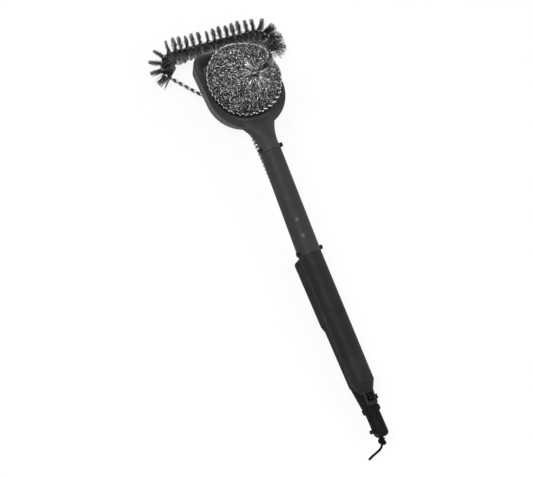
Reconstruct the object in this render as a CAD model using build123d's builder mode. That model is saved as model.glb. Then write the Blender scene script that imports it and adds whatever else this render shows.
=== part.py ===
from build123d import *

import os
from math import acos, asin, atan2, cos, degrees, hypot, pi, radians, sin, sqrt, tan

# Grill cleaning brush.  A twisted wire brush lies at the back; a clip-on scrubber, with a steel
# scouring pad in its cup, nests over the brush's handle and stem.  Millimetres.  X is to the
# right, Y to the head, Z up.  The tool lies on its back, on the bristles and the handle's heel.
# A station is a distance from the tail end towards the head.

# ---- overall ---------------------------------------------------------------------------
LENGTH = 498.0                 # tail end to the outermost bristle tips
PRESS_GAP = 0.05               # radial play of pieces that are pressed or cast together
NEST_GAP = 0.4                 # play between the scrubber and the brush it clips over
SCREW_RADIUS = 1.5
SCREW_HEAD_RADIUS = 2.8
SCREW_HEAD_HEIGHT = 1.8

# ---- wire brush --------------------------------------------------------------------------
BRISTLE_RADIUS = 16.5          # reach of the bristles from the core wire
CORE_RADIUS = 2.3              # envelope of the twisted pair in the loop
STEM_RADIUS = 3.2              # envelope of the twisted stem
LOOP_HALF_WIDTH = 69.0         # to the core's centre line
CORNER_RADIUS = 17.5           # of the core's centre line
APEX_STATION = 382.5           # where the two sides of the loop meet the stem

# ---- brush handle ------------------------------------------------------------------------
HANDLE_START = 60.0
HANDLE_END = 210.5
HANDLE_HALF_WIDTH = 12.4
HANDLE_BOTTOM = 3.4            # height of the handle's back above the ground, short of the heel
HANDLE_WALL = 3.2
HANDLE_END_WALL = 5.0
HANDLE_END_ROUND = 4.0
HEEL_START = 134.0
HEEL_RAMP = 7.5                # length of the slope up to the heel
HEEL_HALF_WIDTH = 13.0
HEEL_FLAT_DEPTH = 0.6          # how much the round back is flattened where it rests
COVER_START = 66.0
COVER_END = 194.0
COVER_WALL = 2.0
HANDLE_SCREW_STATIONS = (78.0, 101.0, 124.0)
BOSS_RADIUS = 3.6
STEM_END = 142.0               # the stem's inner end
STEM_PIN_STATION = 152.0
STEM_PIN_RADIUS = 1.5
CRADLE_HALF_LENGTH = 3.5
CRADLE_DEPTH = 9.5             # below the stem's axis
CRADLE_GAP = 1.5               # beside the stem
HANDLE_SCREW_REACH = 9.0       # into the cover's bosses
FERRULE_RADIUS = 5.2
FERRULE_INSIDE = 9.0           # length inside the handle's end wall
FERRULE_OUTSIDE = 2.0

# ---- tail ----------------------------------------------------------------------------------
TAIL_RADIUS = 8.1
TAIL_ROUND = 4.5
TAIL_CUT_LENGTH = 6.3          # slanted corner on the left of the tail end
TAIL_CUT_WIDTH = 5.6
COLLAR_START = 28.0
COLLAR_RADIUS = 9.2
COLLAR_HEAD_RADIUS = 12.0      # where the collar's flared sides meet the handle
BEAD_END = 34.5                # raised ring at the collar's tail end
BEAD_RADIUS = 10.2
BEAD_ROUND = 1.9
SPIGOT_RADIUS = 4.0
SPIGOT_LENGTH = 7.0
HANG_PIN_STATION = 8.8
HANG_PIN_RADIUS = 1.5
HANG_PIN_HEAD_RADIUS = 2.2
HANG_PIN_PROUD = 3.7           # how far the pin's head stands out of the tail
HANG_PIN_SEAT = 7.2            # flat seat of the head, from the axis
EYE_RADIUS = 1.7               # cord's hole in the tail end

# ---- release latch -------------------------------------------------------------------------
LATCH_STATION = 42.5
LATCH_TRAVEL = 2.5
LATCH_GAP = 0.2
SLIDER_WIDTH = 5.2
SLIDER_HEIGHT = 5.0
SLIDER_PROUD = 3.6             # button's reach past the collar
SLIDER_BACK = -2.5             # x of the slider's inner end
POCKET_BACK = -7.4             # x of the pocket's blind end
POST_RADIUS = 1.6
SPRING_RADIUS = 1.9

# ---- scrubber handle -----------------------------------------------------------------------
GRIP_RADIUS = 13.2
GRIP_WALL = 2.4
GRIP_SLOPE = 2.5               # degrees, rising to the head
GRIP_AXIS_START = 23.4         # height of the grip's axis at its tail end
SHOULDER_STATION = 48.6        # where the grip's taper on to the tail ends
SHOULDER_HEIGHT = 21.6
SHOULDER_RADIUS = 7.8
SEAM_GRIP = 209.0              # joint of the grip and the tube
SEAM_NECK = 330.0              # joint of the tube and the neck
SEAM_GAP = 0.8
TUBE_SLOPE = 6.4
TUBE_END_RADIUS = 12.0
TUBE_WALL = 2.2
TUBE_SKIRT = 2.5               # depth of the tube's straight sides below its axis
TONGUE_HALF_WIDTH = 6.0
TONGUE_THICKNESS = 2.2
TONGUE_BAR = 3.8               # tongue's width past the latch's window
WINDOW_HALF_WIDTH = 4.5        # latch's window in the tongue
WINDOW_REACH = 4.2             # towards the tail from the latch
PLUG_HALF_LENGTH = 13.0        # of the inner joining plugs, each side of a seam
PLUG_GAP = 0.15
GRIP_NUB_STATION = 213.5
NECK_NUB_STATION = 333.4
NUB_LIFT = 2.6                 # nubs' height above the axis
NUB_LENGTH = 4.6
NUB_HEIGHT = 4.0
NUB_PROUD = 2.8
NUB_GAP = 0.15
GRIP_SCREW_STATION = 201.0
NECK_SCREW_STATION = 337.0
SET_SCREW_BITE = 1.6           # of the grip's set screw into the crown

# ---- stem clip -----------------------------------------------------------------------------
RIVET_STATIONS = (231.0, 249.0)
RIVET_RADIUS = 1.2
RIVET_HEAD_RADIUS = 2.5
RIVET_HEAD_HEIGHT = 0.9
RIVET_LEAN = 22.0              # degrees to the left of the tube's crown
CLIP_OVERHANG = 4.5            # clip's length past each rivet
CLIP_THICKNESS = 1.8
CLIP_SADDLE_ANGLE = 45.0       # degrees, each side of the crown
CLIP_LEG_LENGTH = 9.0
CLIP_LEG_BOTTOM = 3.0          # the legs' reach below the stem's axis

# ---- cup -----------------------------------------------------------------------------------
CUP_NEAR = 358.1
CUP_NEAR_RADIUS = 45.7         # of the round near end, at the rim's outside
CUP_MOUTH_RADIUS = 39.5        # of the mouth's near end
CUP_FOOT_RADIUS = 39.6         # of the bottom's near end
CUP_FAR = 457.0
CUP_HALF_WIDTH = 46.5          # at the far end
CUP_FAR_CORNER = 12.6
CUP_RIM_HEIGHT = 47.5
CUP_BOTTOM = 21.3
CUP_WALL = 2.6
CUP_LAND = 7.3                 # what the rim's near end is wider than the wall
CUP_BOTTOM_ROUND = 5.5
CUP_NEAR_SLOPE = 9.9           # how much further in each end and side is at the bottom
CUP_FAR_SLOPE = 1.0
CUP_SIDE_SLOPE = 5.2
HOLLOW_NEAR_SLOPE = 26.3       # the same for the hollow, which follows the pad like a bowl
HOLLOW_SIDE_SLOPE = 15.6
HOLLOW_FOOT_RADIUS = 26.0      # near end of the hollow's floor
NECK_WAIST_STATION = 347.0     # the neck's sections: station, height, half width, half height
NECK_WAIST_HALF_WIDTH = 12.4
NECK_WAIST_HALF_HEIGHT = 10.8
NECK_FLARE_STATION = 361.0
NECK_FLARE_HEIGHT = 43.5
NECK_FLARE_HALF_WIDTH = 18.2
NECK_FLARE_HALF_HEIGHT = 9.5
NECK_ROOT_STATION = 376.0
NECK_ROOT_HEIGHT = 38.0
NECK_ROOT_HALF_WIDTH = 28.0
NECK_ROOT_HALF_HEIGHT = 11.0

# ---- scouring pad --------------------------------------------------------------------------
PAD_STATION = 413.2
PAD_INSET = 5.0                # the pad's radius, short of the cup's half width
PAD_HALF_HEIGHT = 33.5
PAD_HEIGHT = 58.0              # height of the pad's centre
PAD_DIMPLE_RADIUS = 7.0
PAD_DIMPLE_DEPTH = 9.0
PAD_RECESS_RADIUS = 10.0
PAD_RECESS_TOP = 31.5
CUP_BOSS_HEIGHT = 2.5
POST_FOOT_RADIUS = 9.0
POST_FOOT_HEIGHT = 2.2
POST_SCREW_SINK = 2.4          # depth of the screw head's seat in the cup's bottom
POST_SCREW_REACH = 14.0
POST_STUD_RADIUS = 4.5
WASHER_RADIUS = 6.4
WASHER_THICKNESS = 1.4

# ---- hang cord -----------------------------------------------------------------------------
CORD_RADIUS = 0.6
KNOT_RADIUS = 4.8
KNOT_CENTRE = (-2.2, -4.2, 15.5)    # x, station and height
# x, station and height along the cord: out of the knot, a tight fold, and back beside itself
CORD_ROUTE = ((-1.6, -6.4, 12.6), (-1.9, -9.5, 8.6), (-5.0, -12.1, 4.6), (-10.5, -13.9, 2.0),
              (-14.8, -15.4, 1.1), (-18.0, -16.9, 0.9), (-18.7, -15.3, 0.9), (-15.3, -14.0, 1.1),
              (-10.9, -12.5, 2.0), (-5.7, -10.9, 4.6), (-3.3, -8.9, 8.6), (-3.0, -6.4, 12.6))

# ---- worked out from the above -------------------------------------------------------------
BRUSH_AXIS = BRISTLE_RADIUS                      # height of the stem and loop
BAR_STATION = LENGTH - BRISTLE_RADIUS            # the loop's far side
COVER_RADIUS = GRIP_RADIUS - GRIP_WALL - NEST_GAP
PIVOT_X = LOOP_HALF_WIDTH - CORNER_RADIUS        # centre of a corner's arc
PIVOT_STATION = BAR_STATION - CORNER_RADIUS
DIMPLE_FLOOR = PAD_HEIGHT + PAD_HALF_HEIGHT - PAD_DIMPLE_DEPTH
CUP_FLOOR = CUP_BOTTOM + CUP_WALL
PAD_RADIUS = CUP_HALF_WIDTH - PAD_INSET
SEAM_AXIS = GRIP_AXIS_START + (SEAM_GRIP - HANDLE_START) * tan(radians(GRIP_SLOPE))


def across(station, height=0.0):
    """Upright plane across the tool, facing the tail, its x to the right and its y up."""
    return Plane(origin=(0, station - LENGTH / 2, height), x_dir=(1, 0, 0), z_dir=(0, -1, 0))


def leaning(station, height, slope):
    """The same plane, square to an axis that rises towards the head."""
    lean = radians(slope)
    return Plane(origin=(0, station - LENGTH / 2, height), x_dir=(1, 0, 0),
                 z_dir=(0, -cos(lean), -sin(lean)))


def grip_height(station):
    return GRIP_AXIS_START + (station - HANDLE_START) * tan(radians(GRIP_SLOPE))


def tube_height(station):
    return SEAM_AXIS + (station - SEAM_GRIP) * tan(radians(TUBE_SLOPE))


def tube_radius(station):
    share = (station - SEAM_GRIP) / (SEAM_NECK - SEAM_GRIP)
    return GRIP_RADIUS + (TUBE_END_RADIUS - GRIP_RADIUS) * share


def grip_plane(station):
    return leaning(station, grip_height(station), GRIP_SLOPE)


def tube_plane(station, slope=TUBE_SLOPE):
    return leaning(station, tube_height(station), slope)


def beside(station):
    """Plane facing right on the tube's axis, its x along the tube and its y square to it."""
    lean = radians(TUBE_SLOPE)
    return Plane(origin=tube_plane(station).origin, x_dir=(0, cos(lean), sin(lean)),
                 z_dir=(1, 0, 0))


def radial(station, angle):
    """Plane on the tube's axis that faces outwards, at an angle to the left of the crown."""
    lean, turn = radians(TUBE_SLOPE), radians(angle)
    return Plane(origin=tube_plane(station).origin, x_dir=(0, cos(lean), sin(lean)),
                 z_dir=(-sin(turn), -sin(lean) * cos(turn), cos(lean) * cos(turn)))


def sideways(station, height):
    """Plane facing right, its x to the head and its y up."""
    return Plane(origin=(0, station - LENGTH / 2, height), x_dir=(0, 1, 0), z_dir=(1, 0, 0))


def level(height):
    return Plane(origin=(0, -LENGTH / 2, height), x_dir=(1, 0, 0), z_dir=(0, 0, 1))


def save(name, builder):
    builder.part.label = name
    export_step(builder.part, f"parts/{name}.step")


os.makedirs("parts", exist_ok=True)

# =============================================================================================
# Wire brush: stem, the two bare sides of the loop, its bristled far side and corners
# =============================================================================================

reach = hypot(PIVOT_X, PIVOT_STATION - APEX_STATION)
side_angle = atan2(PIVOT_X, PIVOT_STATION - APEX_STATION) + asin(CORNER_RADIUS / reach)
corner_turn = 90 + degrees(side_angle)          # how far the core turns round a corner
corner_end_x = PIVOT_X + CORNER_RADIUS * cos(side_angle)
corner_end_station = PIVOT_STATION - CORNER_RADIUS * sin(side_angle)
side_length = hypot(corner_end_x, corner_end_station - APEX_STATION)


def corner_plane(hand):
    """Plane that faces right on the far side's centre line, where a corner begins."""
    return sideways(BAR_STATION, BRUSH_AXIS).offset(hand * PIVOT_X)


def corner_axis(hand):
    return Axis((hand * PIVOT_X, PIVOT_STATION - LENGTH / 2, BRUSH_AXIS), (0, 0, -hand))


with BuildPart() as stem_wire:
    with BuildSketch(across(STEM_END, BRUSH_AXIS)):
        Circle(STEM_RADIUS)
    extrude(amount=-(APEX_STATION - STEM_END))
    with BuildSketch(sideways(STEM_PIN_STATION, BRUSH_AXIS)):
        Circle(STEM_PIN_RADIUS + PRESS_GAP)
    extrude(amount=STEM_RADIUS, both=True, mode=Mode.SUBTRACT)
save("stem_wire", stem_wire)

for side, hand in (("left", -1), ("right", 1)):
    start = Plane(origin=(0, APEX_STATION - LENGTH / 2, BRUSH_AXIS), x_dir=(0, 0, 1),
                  z_dir=(hand * sin(side_angle), cos(side_angle), 0))
    with BuildPart() as side_wire:
        with BuildSketch(start):
            Circle(CORE_RADIUS)
        extrude(amount=side_length)
        with BuildSketch(across(APEX_STATION - STEM_RADIUS, BRUSH_AXIS)):
            Rectangle(4 * STEM_RADIUS, 4 * STEM_RADIUS)
        extrude(amount=-STEM_RADIUS, mode=Mode.SUBTRACT)
        with BuildSketch(sideways(APEX_STATION, BRUSH_AXIS)):
            Rectangle(2 * side_length, 4 * CORE_RADIUS)
        extrude(amount=-hand * side_length, mode=Mode.SUBTRACT)
    save(f"side_wire_{side}", side_wire)

with BuildPart() as loop_core:
    with BuildSketch(corner_plane(-1)):
        Circle(CORE_RADIUS)
    extrude(amount=2 * PIVOT_X)
    for hand in (-1, 1):
        with BuildSketch(corner_plane(hand)):
            Circle(CORE_RADIUS)
        revolve(axis=corner_axis(hand), revolution_arc=corner_turn)
save("loop_core", loop_core)

with BuildPart() as bristle_bar:
    with BuildSketch(corner_plane(-1)):
        Circle(BRISTLE_RADIUS)
        Circle(CORE_RADIUS, mode=Mode.SUBTRACT)
    extrude(amount=2 * PIVOT_X)
save("bristle_bar", bristle_bar)

for side, hand in (("left", -1), ("right", 1)):
    with BuildPart() as bristle_corner:
        with BuildSketch(corner_plane(hand)):
            Circle(BRISTLE_RADIUS)
            Circle(CORE_RADIUS, mode=Mode.SUBTRACT)
        revolve(axis=corner_axis(hand), revolution_arc=corner_turn)
    save(f"bristle_corner_{side}", bristle_corner)

# =============================================================================================
# Brush handle: trough-shaped shell, its cover, screws, and the stem's ferrule and pin
# =============================================================================================

back_centre = HANDLE_BOTTOM + HANDLE_HALF_WIDTH
heel_centre = HEEL_HALF_WIDTH - HEEL_FLAT_DEPTH
handle_lengths = ((HANDLE_START, HANDLE_END, HANDLE_HALF_WIDTH, back_centre),
                  (HEEL_START, HANDLE_END, HEEL_HALF_WIDTH, heel_centre))
hollow_lengths = ((HANDLE_START + HANDLE_END_WALL, HEEL_START, HANDLE_HALF_WIDTH, back_centre),
                  (HEEL_START, HANDLE_END - HANDLE_END_WALL, HEEL_HALF_WIDTH, heel_centre))
shell_top_lift = -NEST_GAP                       # the shell's edge, below the grip's edge
handle_screw_seat = HANDLE_BOTTOM + SCREW_HEAD_HEIGHT + NEST_GAP
pin_half_length = HEEL_HALF_WIDTH - HANDLE_WALL
cradle_x = (STEM_RADIUS + CRADLE_GAP + HEEL_HALF_WIDTH - HANDLE_WALL / 2) / 2
cradle_width = HEEL_HALF_WIDTH - HANDLE_WALL / 2 - STEM_RADIUS - CRADLE_GAP

with BuildPart() as rear_handle_shell:
    for start, stop, half_width, centre in handle_lengths:
        with BuildSketch(across(start)):
            with Locations((0, centre)):
                Circle(half_width)
            with Locations((0, centre + GRIP_RADIUS)):
                Rectangle(2 * half_width, 2 * GRIP_RADIUS)
        extrude(amount=-(stop - start))
    for station, half_width, centre in ((HEEL_START - HEEL_RAMP, HANDLE_HALF_WIDTH, back_centre),
                                        (HEEL_START, HEEL_HALF_WIDTH, heel_centre)):
        with BuildSketch(across(station)):
            with Locations((0, centre)):
                Circle(half_width)
    loft()
    with BuildSketch(sideways(HANDLE_START, 0)):
        Rectangle(3 * LENGTH, HANDLE_WALL * 4, align=(Align.CENTER, Align.MAX))
    extrude(amount=LENGTH / 4, both=True, mode=Mode.SUBTRACT)
    with BuildSketch(grip_plane(HANDLE_START - HANDLE_WALL)):
        with Locations((0, shell_top_lift)):
            Rectangle(LENGTH / 4, LENGTH / 4, align=(Align.CENTER, Align.MIN))
    extrude(amount=-LENGTH / 2, mode=Mode.SUBTRACT)
    with BuildSketch(level(SEAM_AXIS - TUBE_SKIRT - NEST_GAP)):
        with Locations((0, SEAM_GRIP - SEAM_GAP / 2 - NEST_GAP)):
            Rectangle(4 * GRIP_RADIUS, LENGTH / 4, align=(Align.CENTER, Align.MIN))
    extrude(amount=2 * GRIP_RADIUS, mode=Mode.SUBTRACT)
    end_edges = rear_handle_shell.faces().sort_by(Axis.Y)[-1].edges().sort_by(Axis.Z)[:-1]
    fillet(end_edges, radius=HANDLE_END_ROUND)
    # the hollow, short of both end walls
    for start, stop, half_width, centre in hollow_lengths:
        with BuildSketch(across(start)):
            with Locations((0, centre)):
                Circle(half_width - HANDLE_WALL)
            with Locations((0, centre + GRIP_RADIUS)):
                Rectangle(2 * (half_width - HANDLE_WALL), 2 * GRIP_RADIUS)
        extrude(amount=-(stop - start), mode=Mode.SUBTRACT)
    # screw bosses, up to the stem's height
    with BuildSketch(level(HANDLE_BOTTOM + HANDLE_WALL / 2)):
        with Locations([(0, station) for station in HANDLE_SCREW_STATIONS]):
            Circle(BOSS_RADIUS)
    extrude(amount=BRUSH_AXIS - HANDLE_BOTTOM - HANDLE_WALL / 2)
    with BuildSketch(level(BRUSH_AXIS)):
        with Locations([(0, station) for station in HANDLE_SCREW_STATIONS]):
            Circle(SCREW_RADIUS + PRESS_GAP)
    extrude(amount=-BRUSH_AXIS, mode=Mode.SUBTRACT)
    with BuildSketch(level(handle_screw_seat)):
        with Locations([(0, station) for station in HANDLE_SCREW_STATIONS]):
            Circle(SCREW_HEAD_RADIUS + PRESS_GAP)
    extrude(amount=-handle_screw_seat, mode=Mode.SUBTRACT)
    # cradle of the stem's pin, half a hole deep
    with BuildSketch(level(BRUSH_AXIS)):
        with Locations((-cradle_x, STEM_PIN_STATION), (cradle_x, STEM_PIN_STATION)):
            Rectangle(cradle_width, 2 * CRADLE_HALF_LENGTH)
    extrude(amount=-CRADLE_DEPTH)
    with BuildSketch(sideways(STEM_PIN_STATION, BRUSH_AXIS)):
        Circle(STEM_PIN_RADIUS + PRESS_GAP)
    extrude(amount=pin_half_length, both=True, mode=Mode.SUBTRACT)
    # holes in the end walls for the stem's ferrule and the collar's spigot
    with BuildSketch(across(HANDLE_END - HANDLE_END_WALL, BRUSH_AXIS)):
        Circle(FERRULE_RADIUS + PRESS_GAP)
    extrude(amount=-HANDLE_END_WALL, mode=Mode.SUBTRACT)
    with BuildSketch(across(HANDLE_START, BRUSH_AXIS)):
        Circle(SPIGOT_RADIUS + PRESS_GAP)
    extrude(amount=-HANDLE_END_WALL, mode=Mode.SUBTRACT)
save("rear_handle_shell", rear_handle_shell)

cover_length = COVER_END - COVER_START
with BuildPart() as cover_hollow:
    with BuildSketch(grip_plane(COVER_START + COVER_WALL)):
        Circle(COVER_RADIUS - COVER_WALL)
    extrude(amount=-(cover_length - 2 * COVER_WALL))
    with BuildSketch(level(0)):
        with Locations([(0, station) for station in HANDLE_SCREW_STATIONS]):
            Circle(BOSS_RADIUS)
    extrude(amount=4 * COVER_RADIUS, mode=Mode.SUBTRACT)

with BuildPart() as rear_handle_cover:
    with BuildSketch(grip_plane(COVER_START)):
        Circle(COVER_RADIUS)
        with Locations((0, shell_top_lift)):
            Rectangle(4 * COVER_RADIUS, 4 * COVER_RADIUS, align=(Align.CENTER, Align.MAX),
                      mode=Mode.SUBTRACT)
    extrude(amount=-cover_length)
    add(cover_hollow.part, mode=Mode.SUBTRACT)
    with BuildSketch(level(BRUSH_AXIS)):
        with Locations([(0, station) for station in HANDLE_SCREW_STATIONS]):
            Circle(BOSS_RADIUS)
    extrude(amount=grip_height(HANDLE_SCREW_STATIONS[-1]) - BRUSH_AXIS)
    with BuildSketch(level(BRUSH_AXIS)):
        with Locations([(0, station) for station in HANDLE_SCREW_STATIONS]):
            Circle(SCREW_RADIUS + PRESS_GAP)
    extrude(amount=HANDLE_SCREW_REACH + PRESS_GAP, mode=Mode.SUBTRACT)
save("rear_handle_cover", rear_handle_cover)

with BuildPart() as handle_screws:
    with BuildSketch(level(handle_screw_seat)):
        with Locations([(0, station) for station in HANDLE_SCREW_STATIONS]):
            Circle(SCREW_HEAD_RADIUS)
    extrude(amount=-SCREW_HEAD_HEIGHT)
    with BuildSketch(level(handle_screw_seat)):
        with Locations([(0, station) for station in HANDLE_SCREW_STATIONS]):
            Circle(SCREW_RADIUS)
    extrude(amount=BRUSH_AXIS + HANDLE_SCREW_REACH - handle_screw_seat)
save("handle_screws", handle_screws)

with BuildPart() as stem_ferrule:
    with BuildSketch(across(HANDLE_END - FERRULE_INSIDE, BRUSH_AXIS)):
        Circle(FERRULE_RADIUS)
        Circle(STEM_RADIUS + PRESS_GAP, mode=Mode.SUBTRACT)
    extrude(amount=-(FERRULE_INSIDE + FERRULE_OUTSIDE))
save("stem_ferrule", stem_ferrule)

with BuildPart() as stem_pin:
    with BuildSketch(sideways(STEM_PIN_STATION, BRUSH_AXIS)):
        Circle(STEM_PIN_RADIUS)
    extrude(amount=pin_half_length - PRESS_GAP, both=True)
save("stem_pin", stem_pin)

# =============================================================================================
# Tail: collar with the release latch, end cap, hang pin
# =============================================================================================

pocket_half_width = SLIDER_WIDTH / 2 + LATCH_GAP
pocket_half_height = SLIDER_HEIGHT / 2 + LATCH_GAP
post_slot_left = -(LATCH_TRAVEL + POST_RADIUS + LATCH_GAP)
post_slot_right = POST_RADIUS + LATCH_GAP
collar_top = BRUSH_AXIS + COLLAR_RADIUS
tongue_bottom = collar_top + NEST_GAP
tongue_top = tongue_bottom + TONGUE_THICKNESS

with BuildPart() as tail_collar:
    with BuildSketch(across(COLLAR_START, BRUSH_AXIS)):
        Circle(BEAD_RADIUS)
    extrude(amount=-(BEAD_END - COLLAR_START))
    fillet(tail_collar.edges().filter_by(GeomType.CIRCLE), radius=BEAD_ROUND)
    # sides that flare to the handle's width, short of the scrubber's lower edge
    for station, radius in ((BEAD_END, COLLAR_RADIUS), (HANDLE_START, COLLAR_HEAD_RADIUS)):
        with BuildSketch(across(station, BRUSH_AXIS)):
            Circle(radius)
    loft()
    with BuildSketch(level(SHOULDER_HEIGHT - NEST_GAP)):
        with Locations((0, BEAD_END)):
            Rectangle(2 * COLLAR_HEAD_RADIUS, HANDLE_START - BEAD_END,
                      align=(Align.CENTER, Align.MIN))
    extrude(amount=COLLAR_HEAD_RADIUS, mode=Mode.SUBTRACT)
    with BuildSketch(across(COLLAR_START, BRUSH_AXIS)):
        Circle(COLLAR_RADIUS)
    extrude(amount=-(HANDLE_START - COLLAR_START))
    with BuildSketch(across(HANDLE_START, BRUSH_AXIS)):
        Circle(SPIGOT_RADIUS)
    extrude(amount=-SPIGOT_LENGTH)
    with BuildSketch(across(COLLAR_START, BRUSH_AXIS)):
        Circle(SPIGOT_RADIUS + PRESS_GAP)
    extrude(amount=-(SPIGOT_LENGTH + PRESS_GAP), mode=Mode.SUBTRACT)
    # pocket of the release slider, open on the right, and the slot over it
    with BuildSketch(sideways(LATCH_STATION, BRUSH_AXIS).offset(POCKET_BACK)):
        Rectangle(2 * pocket_half_width, 2 * pocket_half_height)
    extrude(amount=COLLAR_HEAD_RADIUS - POCKET_BACK, mode=Mode.SUBTRACT)
    with BuildSketch(level(BRUSH_AXIS)):
        with Locations(((post_slot_left + post_slot_right) / 2, LATCH_STATION)):
            Rectangle(post_slot_right - post_slot_left, 2 * post_slot_right)
    extrude(amount=2 * COLLAR_RADIUS, mode=Mode.SUBTRACT)
save("tail_collar", tail_collar)

with BuildPart() as release_slider:
    with BuildSketch(sideways(LATCH_STATION, BRUSH_AXIS).offset(SLIDER_BACK)):
        Rectangle(SLIDER_WIDTH, SLIDER_HEIGHT)
    extrude(amount=COLLAR_RADIUS + SLIDER_PROUD - SLIDER_BACK)
    fillet(release_slider.faces().sort_by(Axis.X)[-1].edges(), radius=SLIDER_PROUD / 4)
    with BuildSketch(level(BRUSH_AXIS)):
        with Locations((0, LATCH_STATION)):
            Circle(POST_RADIUS)
    extrude(amount=tongue_top - BRUSH_AXIS)
    fillet(release_slider.faces().sort_by(Axis.Z)[-1].edges(), radius=POST_RADIUS / 3)
save("release_slider", release_slider)

with BuildPart() as slider_spring:
    with BuildSketch(sideways(LATCH_STATION, BRUSH_AXIS).offset(POCKET_BACK)):
        Circle(SPRING_RADIUS)
    extrude(amount=SLIDER_BACK - POCKET_BACK)
save("slider_spring", slider_spring)

with BuildPart() as tail_cap:
    with BuildSketch(across(0, BRUSH_AXIS)):
        Circle(TAIL_RADIUS)
    extrude(amount=-COLLAR_START)
    fillet(tail_cap.edges().sort_by(Axis.Y)[0], radius=TAIL_ROUND)
    with BuildSketch(level(0)):
        Polygon((-TAIL_RADIUS, 0), (TAIL_CUT_WIDTH - TAIL_RADIUS, 0), (-TAIL_RADIUS, TAIL_CUT_LENGTH),
                align=None)
    extrude(amount=2 * BRUSH_AXIS, mode=Mode.SUBTRACT)
    with BuildSketch(across(COLLAR_START, BRUSH_AXIS)):
        Circle(SPIGOT_RADIUS)
    extrude(amount=-SPIGOT_LENGTH)
    with BuildSketch(across(0, BRUSH_AXIS)):
        Circle(EYE_RADIUS)
    extrude(amount=-(HANG_PIN_STATION + 2 * HANG_PIN_RADIUS), mode=Mode.SUBTRACT)
    with BuildSketch(sideways(HANG_PIN_STATION, BRUSH_AXIS)):
        Circle(HANG_PIN_RADIUS + PRESS_GAP)
    extrude(amount=TAIL_RADIUS, both=True, mode=Mode.SUBTRACT)
    with BuildSketch(sideways(HANG_PIN_STATION, BRUSH_AXIS).offset(-HANG_PIN_SEAT)):
        Circle(HANG_PIN_HEAD_RADIUS + PRESS_GAP)
    extrude(amount=-TAIL_RADIUS, mode=Mode.SUBTRACT)
save("tail_cap", tail_cap)

with BuildPart() as hang_pin:
    with BuildSketch(sideways(HANG_PIN_STATION, BRUSH_AXIS).offset(-HANG_PIN_SEAT)):
        Circle(HANG_PIN_RADIUS)
    extrude(amount=2 * HANG_PIN_SEAT)
    with BuildSketch(sideways(HANG_PIN_STATION, BRUSH_AXIS).offset(-HANG_PIN_SEAT)):
        Circle(HANG_PIN_HEAD_RADIUS)
    extrude(amount=-(TAIL_RADIUS + HANG_PIN_PROUD - HANG_PIN_SEAT))
    fillet(hang_pin.edges().sort_by(Axis.X)[0], radius=HANG_PIN_RADIUS / 2)
save("hang_pin", hang_pin)

# =============================================================================================
# Scrubber handle: grip, tube, the plugs that join them, set screws, stem clip and rivets
# =============================================================================================


def arch(radius, skirt):
    """Half-round outline on straight sides, open end down."""
    with BuildSketch(Plane.XY) as outline:
        with BuildLine():
            Polyline((-radius, 0), (-radius, -skirt), (radius, -skirt), (radius, 0))
            ThreePointArc((radius, 0), (0, radius), (-radius, 0))
        make_face()
    return outline.sketch


def half_round(radius):
    with BuildSketch(Plane.XY) as outline:
        with BuildLine():
            Line((-radius, 0), (radius, 0))
            ThreePointArc((radius, 0), (0, radius), (-radius, 0))
        make_face()
    return outline.sketch


def rivet_seat(station):
    """Distance from the tube's axis to the flat under a rivet's outer head."""
    return sqrt(tube_radius(station) ** 2 - RIVET_HEAD_RADIUS ** 2) - PRESS_GAP


grip_start = HANDLE_START + NEST_GAP
grip_end = SEAM_GRIP - SEAM_GAP / 2
tube_start = SEAM_GRIP + SEAM_GAP / 2
tube_end = SEAM_NECK - SEAM_GAP / 2
neck_start = SEAM_NECK + SEAM_GAP / 2
grip_rise = cos(radians(GRIP_SLOPE))
tube_rise = cos(radians(TUBE_SLOPE))
plug_radius = TUBE_END_RADIUS - TUBE_WALL - PLUG_GAP
grip_plug_radius = GRIP_RADIUS - GRIP_WALL - PLUG_GAP
grip_outline = half_round(GRIP_RADIUS)
grip_bore = arch(GRIP_RADIUS - GRIP_WALL, 2 * GRIP_WALL)
window_start = LATCH_STATION - WINDOW_REACH
tongue_end = window_start - TONGUE_BAR

with BuildPart() as grip_shell:
    with BuildSketch(grip_plane(grip_start)):
        add(grip_outline)
    extrude(amount=-(grip_end - grip_start) / grip_rise)
    # shoulder that tapers on to the tail's collar
    with BuildSketch(grip_plane(grip_start)):
        add(grip_outline)
    with BuildSketch(leaning(SHOULDER_STATION, SHOULDER_HEIGHT, GRIP_SLOPE)):
        add(half_round(SHOULDER_RADIUS))
    loft()
    with BuildSketch(across(0, BRUSH_AXIS)):
        Circle(COLLAR_RADIUS + NEST_GAP)
    extrude(amount=-grip_start, mode=Mode.SUBTRACT)
    with BuildSketch(grip_plane(grip_start + GRIP_WALL)):
        add(grip_bore)
    extrude(amount=-(grip_end - grip_start) / grip_rise, mode=Mode.SUBTRACT)
    with BuildSketch(level(grip_height(GRIP_SCREW_STATION))):
        with Locations((0, GRIP_SCREW_STATION)):
            Circle(SCREW_RADIUS + PRESS_GAP)
    extrude(amount=GRIP_RADIUS - GRIP_WALL + SET_SCREW_BITE + PRESS_GAP, mode=Mode.SUBTRACT)
    # tongue over the collar, with a window for the latch's post
    with BuildSketch(level(tongue_bottom)):
        with Locations((0, tongue_end)):
            Rectangle(2 * TONGUE_HALF_WIDTH, grip_start + GRIP_WALL / 2 - tongue_end,
                      align=(Align.CENTER, Align.MIN))
        fillet(vertices().group_by(Axis.Y)[0], radius=TONGUE_HALF_WIDTH / 2)
        with Locations((0, window_start)):
            Rectangle(2 * WINDOW_HALF_WIDTH, SHOULDER_STATION - window_start,
                      align=(Align.CENTER, Align.MIN), mode=Mode.SUBTRACT)
    extrude(amount=TONGUE_THICKNESS)
save("grip_shell", grip_shell)

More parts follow.
